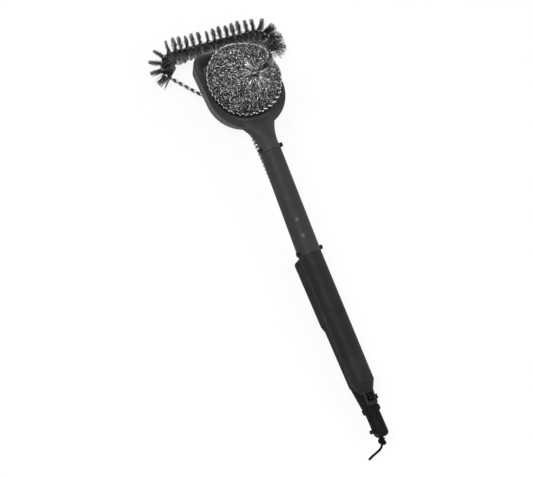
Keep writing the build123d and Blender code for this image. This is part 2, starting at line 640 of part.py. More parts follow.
tube_ends = (tube_plane(tube_start, GRIP_SLOPE), tube_plane(tube_end))
tube_outlines = [arch(tube_radius(station), TUBE_SKIRT) for station in (tube_start, tube_end)]
tube_bores = [arch(tube_radius(station) - TUBE_WALL, 2 * TUBE_SKIRT)
              for station in (tube_start, tube_end)]
nub_window = (NUB_LENGTH + 2 * NUB_GAP, NUB_HEIGHT + 2 * NUB_GAP)

with BuildPart() as tube_shell:
    for plane, outline in zip(tube_ends, tube_outlines):
        with BuildSketch(plane):
            add(outline)
    loft()
    for plane, outline in zip(tube_ends, tube_bores):
        with BuildSketch(plane):
            add(outline)
    loft(mode=Mode.SUBTRACT)
    # rivet holes, with flats outside for the heads
    for station in RIVET_STATIONS:
        with BuildSketch(radial(station, RIVET_LEAN)):
            Circle(RIVET_RADIUS + PRESS_GAP)
        extrude(amount=2 * GRIP_RADIUS, mode=Mode.SUBTRACT)
        with BuildSketch(radial(station, RIVET_LEAN).offset(rivet_seat(station))):
            Circle(RIVET_HEAD_RADIUS + PRESS_GAP)
        extrude(amount=GRIP_RADIUS, mode=Mode.SUBTRACT)
    # windows for the plug's nubs
    with BuildSketch(beside(GRIP_NUB_STATION)):
        with Locations((0, NUB_LIFT)):
            Rectangle(*nub_window)
    extrude(amount=2 * GRIP_RADIUS, both=True, mode=Mode.SUBTRACT)
save("tube_shell", tube_shell)


plug_gap_radius = plug_radius + PLUG_GAP
leg_inside = STEM_RADIUS + NEST_GAP / 2
leg_outside = leg_inside + CLIP_THICKNESS
grip_plug_outline = half_round(grip_plug_radius)
tube_plug_outline = half_round(grip_plug_radius - PLUG_GAP)
neck_plug_outline = half_round(plug_radius)

with BuildPart() as grip_plug:
    with BuildSketch(grip_plane(SEAM_GRIP - PLUG_HALF_LENGTH)):
        add(grip_plug_outline)
    extrude(amount=-PLUG_HALF_LENGTH / grip_rise)
    with BuildSketch(tube_plane(SEAM_GRIP)):
        add(tube_plug_outline)
    extrude(amount=-PLUG_HALF_LENGTH)
    with BuildSketch(beside(GRIP_NUB_STATION)):
        with Locations((0, NUB_LIFT)):
            Rectangle(NUB_LENGTH, NUB_HEIGHT)
    extrude(amount=tube_radius(GRIP_NUB_STATION) + NUB_PROUD, both=True)
    fillet(grip_plug.faces().sort_by(Axis.X)[0].edges(), radius=NUB_PROUD / 4)
    fillet(grip_plug.faces().sort_by(Axis.X)[-1].edges(), radius=NUB_PROUD / 4)
    with BuildSketch(level(0)):
        with Locations((0, GRIP_SCREW_STATION)):
            Circle(SCREW_RADIUS + PRESS_GAP)
    extrude(amount=LENGTH, mode=Mode.SUBTRACT)
save("grip_plug", grip_plug)

with BuildPart() as neck_plug:
    with BuildSketch(tube_plane(SEAM_NECK - PLUG_HALF_LENGTH)):
        add(neck_plug_outline)
    extrude(amount=-PLUG_HALF_LENGTH / tube_rise)
    with BuildSketch(tube_plane(SEAM_NECK)):
        Circle(plug_radius)
    extrude(amount=-PLUG_HALF_LENGTH)
    with BuildSketch(beside(NECK_NUB_STATION)):
        with Locations((0, NUB_LIFT)):
            Rectangle(NUB_LENGTH, NUB_HEIGHT)
    extrude(amount=tube_radius(NECK_NUB_STATION) + NUB_PROUD, both=True)
    fillet(neck_plug.faces().sort_by(Axis.X)[0].edges(), radius=NUB_PROUD / 4)
    fillet(neck_plug.faces().sort_by(Axis.X)[-1].edges(), radius=NUB_PROUD / 4)
    with BuildSketch(level(0)):
        with Locations((0, NECK_SCREW_STATION)):
            Circle(SCREW_RADIUS + PRESS_GAP)
    extrude(amount=tube_height(NECK_SCREW_STATION), mode=Mode.SUBTRACT)
save("neck_plug", neck_plug)

grip_screw_bottom = grip_height(GRIP_SCREW_STATION) + PLUG_GAP
grip_screw_top = grip_height(GRIP_SCREW_STATION) + GRIP_RADIUS - GRIP_WALL + SET_SCREW_BITE
neck_screw_top = tube_height(NECK_SCREW_STATION)
neck_screw_bottom = neck_screw_top - NECK_WAIST_HALF_HEIGHT
with BuildPart() as set_screws:
    for station, bottom, top in ((GRIP_SCREW_STATION, grip_screw_bottom, grip_screw_top),
                                 (NECK_SCREW_STATION, neck_screw_bottom, neck_screw_top)):
        with BuildSketch(level(bottom)):
            with Locations((0, station)):
                Circle(SCREW_RADIUS)
        extrude(amount=top - bottom)
save("set_screws", set_screws)

clip_start = RIVET_STATIONS[0] - CLIP_OVERHANG
clip_length = RIVET_STATIONS[1] - RIVET_STATIONS[0] + 2 * CLIP_OVERHANG
leg_start = (RIVET_STATIONS[0] + RIVET_STATIONS[1] - CLIP_LEG_LENGTH) / 2
saddle_top = min(tube_radius(clip_start), tube_radius(clip_start + clip_length)) - TUBE_WALL - PLUG_GAP
saddle_bottom = saddle_top - CLIP_THICKNESS

with BuildPart() as stem_clip:
    with BuildSketch(tube_plane(clip_start)):
        Circle(saddle_top)
        Circle(saddle_bottom, mode=Mode.SUBTRACT)
        with Locations(Rotation(0, 0, CLIP_SADDLE_ANGLE)):
            Rectangle(4 * GRIP_RADIUS, 4 * GRIP_RADIUS, align=(Align.CENTER, Align.MAX),
                      mode=Mode.SUBTRACT)
        with Locations(Rotation(0, 0, -CLIP_SADDLE_ANGLE)):
            Rectangle(4 * GRIP_RADIUS, 4 * GRIP_RADIUS, align=(Align.CENTER, Align.MAX),
                      mode=Mode.SUBTRACT)
    extrude(amount=-clip_length)
    with BuildSketch(tube_plane(leg_start)):
        with Locations((0, saddle_bottom)):
            Rectangle(2 * leg_outside, 4 * GRIP_RADIUS, align=(Align.CENTER, Align.MAX))
            Rectangle(2 * leg_inside, 4 * GRIP_RADIUS, align=(Align.CENTER, Align.MAX),
                      mode=Mode.SUBTRACT)
    extrude(amount=-CLIP_LEG_LENGTH)
    with BuildSketch(level(BRUSH_AXIS - CLIP_LEG_BOTTOM)):
        with Locations((0, RIVET_STATIONS[0])):
            Rectangle(4 * GRIP_RADIUS, LENGTH / 2)
    extrude(amount=-4 * GRIP_RADIUS, mode=Mode.SUBTRACT)
    for station in RIVET_STATIONS:
        with BuildSketch(radial(station, RIVET_LEAN)):
            Circle(RIVET_RADIUS + PRESS_GAP)
        extrude(amount=GRIP_RADIUS, mode=Mode.SUBTRACT)
save("stem_clip", stem_clip)

inner_head_seat = sqrt(saddle_bottom ** 2 - RIVET_HEAD_RADIUS ** 2) - PRESS_GAP
with BuildPart() as clip_rivets:
    for station in RIVET_STATIONS:
        with BuildSketch(radial(station, RIVET_LEAN).offset(inner_head_seat)):
            Circle(RIVET_RADIUS)
        extrude(amount=rivet_seat(station) - inner_head_seat)
        with BuildSketch(radial(station, RIVET_LEAN).offset(rivet_seat(station))):
            Circle(RIVET_HEAD_RADIUS)
        extrude(amount=RIVET_HEAD_HEIGHT, taper=20)
        with BuildSketch(radial(station, RIVET_LEAN).offset(inner_head_seat)):
            Circle(RIVET_HEAD_RADIUS)
        extrude(amount=-RIVET_HEAD_HEIGHT)
save("clip_rivets", clip_rivets)

# =============================================================================================
# Scrubber's cup and neck
# =============================================================================================


def cup_outline(radius, near_in, far_in, side_in, wall):
    """Plan of the cup: a round near end, sides that touch it, and rounded far corners.

    The near end, the far end and the sides stand in from the rim's outside by their own values,
    and all of them by the wall as well.
    """
    corner = CUP_FAR_CORNER - wall
    near, far = CUP_NEAR + near_in + wall, CUP_FAR - far_in - wall
    span = Vector(CUP_HALF_WIDTH - side_in - wall - corner, far - corner - near - radius)
    lean = atan2(span.Y, span.X) - acos((radius - corner) / span.length)
    side = sqrt(span.length ** 2 - (radius - corner) ** 2)
    with BuildSketch(Plane.XY) as outline:
        with BuildLine():
            end_arc = JernArc((0, near), (1, 0), radius, 90 + degrees(lean))
            side_line = PolarLine(end_arc @ 1, side, direction=end_arc % 1)
            corner_arc = JernArc(side_line @ 1, side_line % 1, corner, 90 - degrees(lean))
            Line(corner_arc @ 1, (0, far))
            mirror(about=Plane.YZ)
        make_face()
    return outline.sketch


def cup_block(rim_outline, foot_outline, foot_height, foot_round):
    """Solid between the rim's plan and the foot's, with a rounded foot."""
    with BuildPart() as block:
        with BuildSketch(level(CUP_RIM_HEIGHT)):
            add(rim_outline)
        with BuildSketch(level(foot_height)):
            add(foot_outline)
        loft()
        fillet(block.faces().sort_by(Axis.Z)[0].edges(), radius=foot_round)
    return block.part


cup_mouth = cup_outline(CUP_MOUTH_RADIUS, CUP_LAND, 0, 0, CUP_WALL)
cup_body = cup_block(cup_outline(CUP_NEAR_RADIUS, 0, 0, 0, 0),
                     cup_outline(CUP_FOOT_RADIUS, CUP_NEAR_SLOPE, CUP_FAR_SLOPE, CUP_SIDE_SLOPE, 0),
                     CUP_BOTTOM, CUP_BOTTOM_ROUND)
hollow_foot = cup_outline(HOLLOW_FOOT_RADIUS, HOLLOW_NEAR_SLOPE, CUP_FAR_SLOPE, HOLLOW_SIDE_SLOPE, CUP_WALL)
cup_hollow = cup_block(cup_mouth, hollow_foot, CUP_FLOOR, CUP_BOTTOM_ROUND - CUP_WALL)
neck_sections = (
    (tube_plane(neck_start), TUBE_END_RADIUS, TUBE_END_RADIUS),
    (tube_plane(NECK_WAIST_STATION, 0), NECK_WAIST_HALF_WIDTH, NECK_WAIST_HALF_HEIGHT),
    (across(NECK_FLARE_STATION, NECK_FLARE_HEIGHT), NECK_FLARE_HALF_WIDTH, NECK_FLARE_HALF_HEIGHT),
    (across(NECK_ROOT_STATION, NECK_ROOT_HEIGHT), NECK_ROOT_HALF_WIDTH, NECK_ROOT_HALF_HEIGHT),
)

with BuildPart() as scrubber_cup:
    add(cup_body)
    for plane, half_width, half_height in neck_sections:
        with BuildSketch(plane):
            Ellipse(half_width, half_height)
    loft()
    add(cup_hollow, mode=Mode.SUBTRACT)
    with BuildSketch(level(CUP_RIM_HEIGHT)):
        add(cup_mouth)
    extrude(amount=CUP_RIM_HEIGHT, mode=Mode.SUBTRACT)
    # windows for the neck plug's nubs, the plug's socket and its set screw's hole
    with BuildSketch(beside(NECK_NUB_STATION)):
        with Locations((0, NUB_LIFT)):
            Rectangle(*nub_window)
    extrude(amount=2 * GRIP_RADIUS, both=True, mode=Mode.SUBTRACT)
    with BuildSketch(tube_plane(SEAM_NECK)):
        Circle(plug_gap_radius)
    extrude(amount=-(PLUG_HALF_LENGTH + PLUG_GAP), mode=Mode.SUBTRACT)
    with BuildSketch(level(0)):
        with Locations((0, NECK_SCREW_STATION)):
            Circle(SCREW_RADIUS + PRESS_GAP)
    extrude(amount=neck_screw_top, mode=Mode.SUBTRACT)
    # boss that carries the pad's post, and its screw's counterbored hole
    with BuildSketch(level(CUP_FLOOR - CUP_WALL / 2)):
        with Locations((0, PAD_STATION)):
            Circle(POST_FOOT_RADIUS)
    extrude(amount=CUP_BOSS_HEIGHT + CUP_WALL / 2)
    with BuildSketch(level(0)):
        with Locations((0, PAD_STATION)):
            Circle(SCREW_RADIUS + PRESS_GAP)
    extrude(amount=LENGTH, mode=Mode.SUBTRACT)
    with BuildSketch(level(0)):
        with Locations((0, PAD_STATION)):
            Circle(SCREW_HEAD_RADIUS + PRESS_GAP)
    extrude(amount=CUP_BOTTOM + POST_SCREW_SINK, mode=Mode.SUBTRACT)
save("scrubber_cup", scrubber_cup)

# =============================================================================================
# Scouring pad and what holds it
# =============================================================================================

post_foot = CUP_FLOOR + CUP_BOSS_HEIGHT
post_screw_top = post_foot + POST_SCREW_REACH

with BuildPart() as pad_post:
    with BuildSketch(level(post_foot)):
        with Locations((0, PAD_STATION)):
            Circle(POST_FOOT_RADIUS)
    extrude(amount=POST_FOOT_HEIGHT)
    with BuildSketch(level(post_foot)):
        with Locations((0, PAD_STATION)):
            Circle(POST_STUD_RADIUS)
    extrude(amount=DIMPLE_FLOOR - post_foot)
    with BuildSketch(level(post_foot)):
        with Locations((0, PAD_STATION)):
            Circle(SCREW_RADIUS + PRESS_GAP)
    extrude(amount=POST_SCREW_REACH + PRESS_GAP, mode=Mode.SUBTRACT)
    with BuildSketch(level(DIMPLE_FLOOR)):
        with Locations((0, PAD_STATION)):
            Circle(SCREW_RADIUS + PRESS_GAP)
    extrude(amount=-(POST_SCREW_REACH + PRESS_GAP), mode=Mode.SUBTRACT)
save("pad_post", pad_post)

with BuildPart() as post_screw:
    with BuildSketch(level(CUP_BOTTOM + POST_SCREW_SINK)):
        with Locations((0, PAD_STATION)):
            Circle(SCREW_HEAD_RADIUS)
    extrude(amount=-SCREW_HEAD_HEIGHT)
    with BuildSketch(level(CUP_BOTTOM + POST_SCREW_SINK)):
        with Locations((0, PAD_STATION)):
            Circle(SCREW_RADIUS)
    extrude(amount=post_screw_top - CUP_BOTTOM - POST_SCREW_SINK)
save("post_screw", post_screw)

with BuildPart() as pad_washer:
    with BuildSketch(level(DIMPLE_FLOOR)):
        with Locations((0, PAD_STATION)):
            Circle(WASHER_RADIUS)
            Circle(SCREW_RADIUS + PRESS_GAP, mode=Mode.SUBTRACT)
    extrude(amount=WASHER_THICKNESS)
save("pad_washer", pad_washer)

with BuildPart() as pad_screw:
    with BuildSketch(level(DIMPLE_FLOOR + WASHER_THICKNESS)):
        with Locations((0, PAD_STATION)):
            Circle(SCREW_HEAD_RADIUS)
    extrude(amount=SCREW_HEAD_HEIGHT)
    with BuildSketch(level(DIMPLE_FLOOR + WASHER_THICKNESS)):
        with Locations((0, PAD_STATION)):
            Circle(SCREW_RADIUS)
    extrude(amount=-(POST_SCREW_REACH + WASHER_THICKNESS))
save("pad_screw", pad_screw)

with BuildPart() as scouring_pad:
    with BuildSketch(across(PAD_STATION, PAD_HEIGHT)):
        Ellipse(PAD_RADIUS, PAD_HALF_HEIGHT)
        Rectangle(PAD_RADIUS, 2 * PAD_HALF_HEIGHT, align=(Align.MAX, Align.CENTER),
                  mode=Mode.SUBTRACT)
        Rectangle(POST_STUD_RADIUS + NEST_GAP, 2 * PAD_HALF_HEIGHT,
                  align=(Align.MIN, Align.CENTER), mode=Mode.SUBTRACT)
        with Locations((0, PAD_HALF_HEIGHT - PAD_DIMPLE_DEPTH)):
            Rectangle(PAD_DIMPLE_RADIUS, PAD_DIMPLE_DEPTH, align=(Align.MIN, Align.MIN),
                      mode=Mode.SUBTRACT)
        with Locations((0, PAD_RECESS_TOP - PAD_HEIGHT)):
            Rectangle(PAD_RECESS_RADIUS, PAD_HALF_HEIGHT, align=(Align.MIN, Align.MAX),
                      mode=Mode.SUBTRACT)
    revolve(axis=Axis((0, PAD_STATION - LENGTH / 2, 0), (0, 0, 1)))
save("scouring_pad", scouring_pad)

# =============================================================================================
# Hang cord and its knot
# =============================================================================================

with BuildPart() as hang_knot:
    with Locations((KNOT_CENTRE[0], KNOT_CENTRE[1] - LENGTH / 2, KNOT_CENTRE[2])):
        Sphere(KNOT_RADIUS)
    with BuildSketch(across(0, BRUSH_AXIS)):
        Circle(2 * TAIL_RADIUS)
    extrude(amount=-TAIL_RADIUS, mode=Mode.SUBTRACT)
save("hang_knot", hang_knot)

cord_points = [Vector(x, station - LENGTH / 2, height) for x, station, height in CORD_ROUTE]
cord_radii = []
for before, point, after in zip(cord_points, cord_points[1:], cord_points[2:]):
    turn = radians((point - before).get_angle(after - point))
    shorter = min((point - before).length, (after - point).length)
    cord_radii.append(0.45 * shorter / tan(turn / 2))
print("hang cord radii", [round(radius, 1) for radius in cord_radii])

with BuildPart() as hang_cord:
    with BuildLine() as cord_line:
        FilletPolyline(*cord_points, radius=cord_radii)
    with BuildSketch(Plane(origin=cord_points[0], z_dir=cord_points[1] - cord_points[0])):
        Circle(CORD_RADIUS)
    sweep()
save("hang_cord", hang_cord)
cord_length = sum(edge.length for edge in cord_line.line.edges())
cord_section = pi * CORD_RADIUS ** 2
print("hang cord length", round(cord_length, 1),
      "volume ratio", round(hang_cord.part.volume / (cord_length * cord_section), 4))
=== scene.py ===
import logging
import math
from dataclasses import dataclass, field, replace
from enum import Enum
from typing import Sequence

import bpy
import numpy as np
from mathutils import Matrix, Vector


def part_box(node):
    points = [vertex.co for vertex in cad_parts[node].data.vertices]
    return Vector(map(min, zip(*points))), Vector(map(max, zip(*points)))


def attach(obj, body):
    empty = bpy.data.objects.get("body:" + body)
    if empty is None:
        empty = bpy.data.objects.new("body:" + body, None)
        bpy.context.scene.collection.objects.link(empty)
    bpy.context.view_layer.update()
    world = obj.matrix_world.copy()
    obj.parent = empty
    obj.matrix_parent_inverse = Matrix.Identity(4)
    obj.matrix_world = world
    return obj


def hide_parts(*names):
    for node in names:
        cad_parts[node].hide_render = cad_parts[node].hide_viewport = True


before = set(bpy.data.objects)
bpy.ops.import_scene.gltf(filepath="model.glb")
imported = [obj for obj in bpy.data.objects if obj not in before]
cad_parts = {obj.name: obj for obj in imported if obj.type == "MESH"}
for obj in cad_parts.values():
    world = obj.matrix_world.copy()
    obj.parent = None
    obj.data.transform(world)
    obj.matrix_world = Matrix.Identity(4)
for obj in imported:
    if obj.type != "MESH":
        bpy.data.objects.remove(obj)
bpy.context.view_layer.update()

Array = np.ndarray
Colour = tuple[float, float, float]
Point = tuple[float, float, float]
Socket = bpy.types.NodeSocket
MM = 0.001
UP = np.array([0.0, 0.0, 1.0])
log = logging.getLogger("grill_brush")


class Body(str, Enum):
    """The three bodies that move against each other."""

    BRUSH = "brush"
    SCRUBBER = "scrubber"
    RELEASE = "release"


# ---------------------------------------------------------------------------------------------
# Meshes from whole arrays
# ---------------------------------------------------------------------------------------------


def unit(vectors: Array) -> Array:
    """Vectors of length one along the last axis."""
    return vectors / np.maximum(np.linalg.norm(vectors, axis=-1, keepdims=True), 1e-12)


def corners_of(node: str) -> tuple[Array, Array]:
    """Lowest and highest corner of a node at rest, in metres."""
    low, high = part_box(node)
    return np.array(low), np.array(high)


def add_mesh(
    name: str,
    vertices: Array,
    faces: Sequence[Array],
    smooth: bool = True,
    uv: Array | None = None,
    shade: Array | None = None,
) -> bpy.types.Object:
    """Puts whole arrays into a new mesh object at the origin.

    Args:
        name: The object's name.
        vertices: Points in metres, of shape (n, 3).
        faces: Arrays of vertex numbers, one array for each number of corners.
        smooth: Whether the faces are shaded smooth.
        uv: Two texture coordinates for each vertex.
        shade: One value from 0 to 1 for each vertex, for the material to read.

    Returns:
        The new object, linked to the scene.
    """
    mesh = bpy.data.meshes.new(name)
    points = np.ascontiguousarray(vertices.reshape(-1, 3), dtype=np.float32)
    loops = np.concatenate([part.reshape(-1) for part in faces]).astype(np.int32)
    totals = np.concatenate([np.full(len(part), part.shape[1]) for part in faces]).astype(np.int32)
    starts = np.concatenate([[0], np.cumsum(totals)[:-1]]).astype(np.int32)
    mesh.vertices.add(len(points))
    mesh.vertices.foreach_set("co", points.reshape(-1))
    mesh.loops.add(len(loops))
    mesh.loops.foreach_set("vertex_index", loops)
    mesh.polygons.add(len(totals))
    mesh.polygons.foreach_set("loop_start", starts)
    mesh.polygons.foreach_set("loop_total", totals)
    mesh.polygons.foreach_set("use_smooth", np.full(len(totals), smooth))
    if uv is not None:
        layer = mesh.uv_layers.new(name="along")
        layer.data.foreach_set("uv", uv.reshape(-1, 2)[loops].astype(np.float32).reshape(-1))
    if shade is not None:
        values = mesh.attributes.new("shade", "FLOAT", "POINT")
        values.data.foreach_set("value", np.ascontiguousarray(shade.reshape(-1), dtype=np.float32))
    mesh.update(calc_edges=True)
    thing = bpy.data.objects.new(name, mesh)
    bpy.context.scene.collection.objects.link(thing)
    return thing


def finish_piece(
    piece: bpy.types.Object,
    material: bpy.types.Material,
    body: Body,
    stands_for: Sequence[str] = (),
) -> bpy.types.Object:
    """Gives a piece its material and its body, and hides the CAD nodes that it replaces.

    Args:
        piece: The piece.
        material: Its finish.
        body: The body it moves with.
        stands_for: CAD nodes that it replaces.

    Returns:
        The same piece.
    """
    piece.data.materials.append(material)
    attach(piece, body.value)
    if stands_for:
        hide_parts(*stands_for)
    return piece


@dataclass
class Strands:
    """Many thin rods at once, each a row of sections along a line.

    A point of a section is the line's point, plus the cosine of an angle times the width along
    one cross direction, plus the sine times the thickness along the other.
    """

    centres: Array                 # (rods, stations, 3)
    across: Array                  # (rods, stations, 3), unit
    upward: Array                  # (rods, stations, 3), unit
    width: Array                   # half width, broadcast to (rods, stations)
    thickness: Array               # half thickness, the same
    sides: int = 3
    closed: bool = False

    @staticmethod
    def along(
        centres: Array,
        normals: Array,
        width: float | Array,
        sides: int = 3,
        closed: bool = False,
        thickness: float | None = None,
    ) -> "Strands":
        """Rods along lines, round ones unless they have a thickness of their own.

        Args:
            centres: Points of the lines, of shape (rods, stations, 3).
            normals: A direction roughly square to each line at each point.
            width: Half the rods' width, or their radius.
            sides: Corners of a section.
            closed: Whether each line joins its own start.
            thickness: Half their thickness, along the normals.

        Returns:
            The rods.
        """
        tangents = Strands.tangents(centres, closed)
        across = unit(np.cross(tangents, normals))
        upward = np.cross(across, tangents)
        half = np.asarray(width if thickness is None else thickness)
        return Strands(centres, across, upward, np.asarray(width), half, sides, closed)

    def rolled(self, angle: Array) -> "Strands":
        """The same rods with each section turned about its line.

        Across becomes cosine across plus sine upward, and upward cosine upward minus sine across.

        Args:
            angle: How far each section turns, in radians, of shape (rods, stations).

        Returns:
            The turned rods.
        """
        cosine, sine = np.cos(angle)[..., None], np.sin(angle)[..., None]
        return replace(
            self,
            across=cosine * self.across + sine * self.upward,
            upward=cosine * self.upward - sine * self.across,
        )

    @staticmethod
    def tangents(centres: Array, closed: bool) -> Array:
        """Directions of the lines, from the neighbours on both sides of each point.

        Args:
            centres: Points of the lines, of shape (rods, stations, 3).
            closed: Whether each line joins its own start.

        Returns:
            Unit directions, of the same shape.
        """
        if closed:
            return unit(np.roll(centres, -1, axis=1) - np.roll(centres, 1, axis=1))
        return unit(np.gradient(centres, axis=1))

    def vertices(self) -> Array:
        """Points of all the sections.

        Returns:
            An array of shape (rods, stations, sides, 3).
        """
        angles = 2 * np.pi * (np.arange(self.sides) / self.sides) + np.pi / 2
        shape = self.centres.shape[:2]
        width = np.broadcast_to(self.width, shape)[..., None, None]
        thickness = np.broadcast_to(self.thickness, shape)[..., None, None]
        return (
            self.centres[:, :, None]
            + np.cos(angles)[:, None] * width * self.across[:, :, None]
            + np.sin(angles)[:, None] * thickness * self.upward[:, :, None]
        )

    def faces(self) -> list[Array]:
        """Faces along the rods and, on open rods, one face at each end.

        Returns:
            Arrays of vertex numbers, one array for each number of corners.
        """
        rods, stations = self.centres.shape[:2]
        number = np.arange(rods * stations * self.sides).reshape(rods, stations, self.sides)
        here = number if self.closed else number[:, :-1]
        ahead = np.roll(number, -1, axis=1) if self.closed else number[:, 1:]
        quads = np.stack(
            [here, np.roll(here, -1, axis=2), np.roll(ahead, -1, axis=2), ahead], axis=-1
        ).reshape(-1, 4)
        if self.closed:
            return [quads]
        return [quads, number[:, 0, ::-1], number[:, -1, :]]

    def make(
        self,
        name: str,
        shade: Array | None = None,
        length: float = 1.0,
        smooth: bool = True,
    ) -> bpy.types.Object:
        """Makes the rods one mesh.

        Args:
            name: The object's name.
            shade: A value from 0 to 1, broadcast to (rods, stations).
            length: The rods' length, for texture coordinates in metres along it.
            smooth: Whether the faces are shaded smooth.

        Returns:
            The new object.
        """
        rods, stations = self.centres.shape[:2]
        shape = (rods, stations, self.sides)
        along = np.linspace(0, 1, stations)[None, :, None] * length
        around = np.linspace(0, 1, self.sides)[None, None, :]
        uv = np.stack([np.broadcast_to(along, shape), np.broadcast_to(around, shape)], axis=-1)
        values = None
        if shade is not None:
            values = np.broadcast_to(np.asarray(shade)[..., None], shape)
        return add_mesh(name, self.vertices(), self.faces(), smooth, uv, values)


# ---------------------------------------------------------------------------------------------
# Finishes
# ---------------------------------------------------------------------------------------------


@dataclass
class Nodes:
    """A node tree, with short ways to add and join nodes."""

    tree: bpy.types.NodeTree

    def feed(self, target: Socket, value: object) -> None:
        """Joins a socket to an input, or sets the input to a fixed value.

        Args:
            target: The input.
            value: The socket or the fixed value.
        """
        if isinstance(value, Socket):
            self.tree.links.new(value, target)
        else:
            target.default_value = value

    def fill(self, node: bpy.types.Node, **inputs: object) -> None:
        """Feeds a node's inputs, by their names with underscores for spaces."""
        for key, value in inputs.items():
            self.feed(node.inputs[key.replace("_", " ")], value)

    def node(self, kind: str, **inputs: object) -> bpy.types.Node:
        """Adds a node and fills its inputs.

        Args:
            kind: The node's kind.
            inputs: Sockets and fixed values, by the inputs' names with underscores for spaces.

        Returns:
            The node.
        """
        made = self.tree.nodes.new(kind)
        self.fill(made, **inputs)
        return made

    def maths(self, kind: str, operation: str, *values: object, output: str = "Value") -> Socket:
        """Result of one calculation.

        Args:
            kind: The node's kind, for numbers or for vectors.
            operation: What it works out.
            values: Sockets and fixed values, in the order of its inputs.
            output: Which of its outputs holds the result.

        Returns:
            The result.
        """
        made = self.tree.nodes.new(kind)
        made.operation = operation
        for target, value in zip(made.inputs, values):
            self.feed(target, value)
        return made.outputs[output]


class Shading(Nodes):
    """A new material's node tree, with the patterns that the finishes share."""

    EDGE_COSINES = (0.985, 0.86)     # between rounded and true normal, at no edge and at an edge
    FACING = (4 * MM, 14 * MM)       # how squarely a surface faces a point, times its distance

    def __init__(self, name: str) -> None:
        """Makes the material with its one surface shader."""
        self.material = bpy.data.materials.new(name)
        self.material.use_nodes = True
        super().__init__(self.material.node_tree)
        self.surface = self.tree.nodes["Principled BSDF"]

    def coordinate(self, kind: str) -> Socket:
        """Texture coordinate: Object is the place in metres, UV runs along and round a rod."""
        return self.node("ShaderNodeTexCoord").outputs[kind]

    def noise(self, place: Socket, size: float, detail: float, rough: float) -> Socket:
        """Cloudy pattern.

        Args:
            place: Where each point lies.
            size: About the size of its patches, in metres.
            detail: How many finer patterns are added.
            rough: How strong these are.

        Returns:
            The pattern, from 0 to 1.
        """
        cloud = self.node(
            "ShaderNodeTexNoise", Vector=place, Scale=1 / size, Detail=detail, Roughness=rough
        )
        return cloud.outputs["Fac"]

    def spread(
        self, value: Socket, low: float, high: float, start: float = 0.3, end: float = 0.7
    ) -> Socket:
        """Maps a pattern evenly between two values.

        Args:
            value: The pattern.
            low: What the start becomes, and anything before it.
            high: What the end becomes, and anything past it.
            start: The pattern's value at the low end.
            end: The pattern's value at the high end.

        Returns:
            The mapped pattern.
        """
        ranged = self.node(
            "ShaderNodeMapRange", Value=value, From_Min=start, From_Max=end, To_Min=low, To_Max=high
        )
        return ranged.outputs["Result"]

    def blend(self, share: Socket, first: Colour | Socket, second: Colour) -> Socket:
        """Colour between two.

        Args:
            share: From 0, the first colour, to 1, the second.
            first: A fixed colour, or a pattern's own.
            second: A fixed colour.

        Returns:
            The colour.
        """
        mix = self.node("ShaderNodeMix")
        mix.data_type = "RGBA"
        self.feed(mix.inputs[0], share)
        ends = [socket for socket in mix.inputs if socket.type == "RGBA"]
        for target, colour in zip(ends, (first, second)):
            self.feed(target, (*colour, 1) if isinstance(colour, tuple) else colour)
        return next(socket for socket in mix.outputs if socket.type == "RGBA")

    def rounded(self, radius: float, samples: int) -> Socket:
        """Normal that the surface would have with its sharp edges rounded.

        Args:
            radius: The radius, in metres.
            samples: How many rays find it.

        Returns:
            The normal.
        """
        soft = self.node("ShaderNodeBevel", Radius=radius)
        soft.samples = samples
        return soft.outputs["Normal"]

    def edges(self, radius: float) -> Socket:
        """Share that is one on sharp edges, where a rounded normal leans away from the true one.

        Args:
            radius: How far an edge reaches to both sides, in metres.

        Returns:
            The share.
        """
        true = self.node("ShaderNodeNewGeometry").outputs["Normal"]
        alike = self.maths("ShaderNodeVectorMath", "DOT_PRODUCT", self.rounded(radius, 6), true)
        return self.spread(alike, 0.0, 1.0, *self.EDGE_COSINES)

    def facing(self, point: Point) -> Socket:
        """Share that is one where the surface faces a point, and nought where it turns away.

        Args:
            point: The point, in metres.

        Returns:
            The share.
        """
        towards = self.maths(
            "ShaderNodeVectorMath", "SUBTRACT", point, self.coordinate("Object"), output="Vector"
        )
        normal = self.coordinate("Normal")
        alike = self.maths("ShaderNodeVectorMath", "DOT_PRODUCT", towards, normal)
        return self.spread(alike, 0.0, 1.0, *self.FACING)

    def relief(self, height: Socket, depth: float, strength: float, edge: float = 0.0) -> None:
        """Presses a pattern into the surface.

        Args:
            height: The pattern, from 0 to 1.
            depth: Its depth in metres.
            strength: Its share, from 0 to 1.
            edge: Radius in metres to which sharp edges look rounded.
        """
        bump = self.node("ShaderNodeBump", Height=height, Strength=strength, Distance=depth)
        if edge > 0:
            self.fill(bump, Normal=self.rounded(edge, 4))
        self.fill(self.surface, Normal=bump.outputs["Normal"])


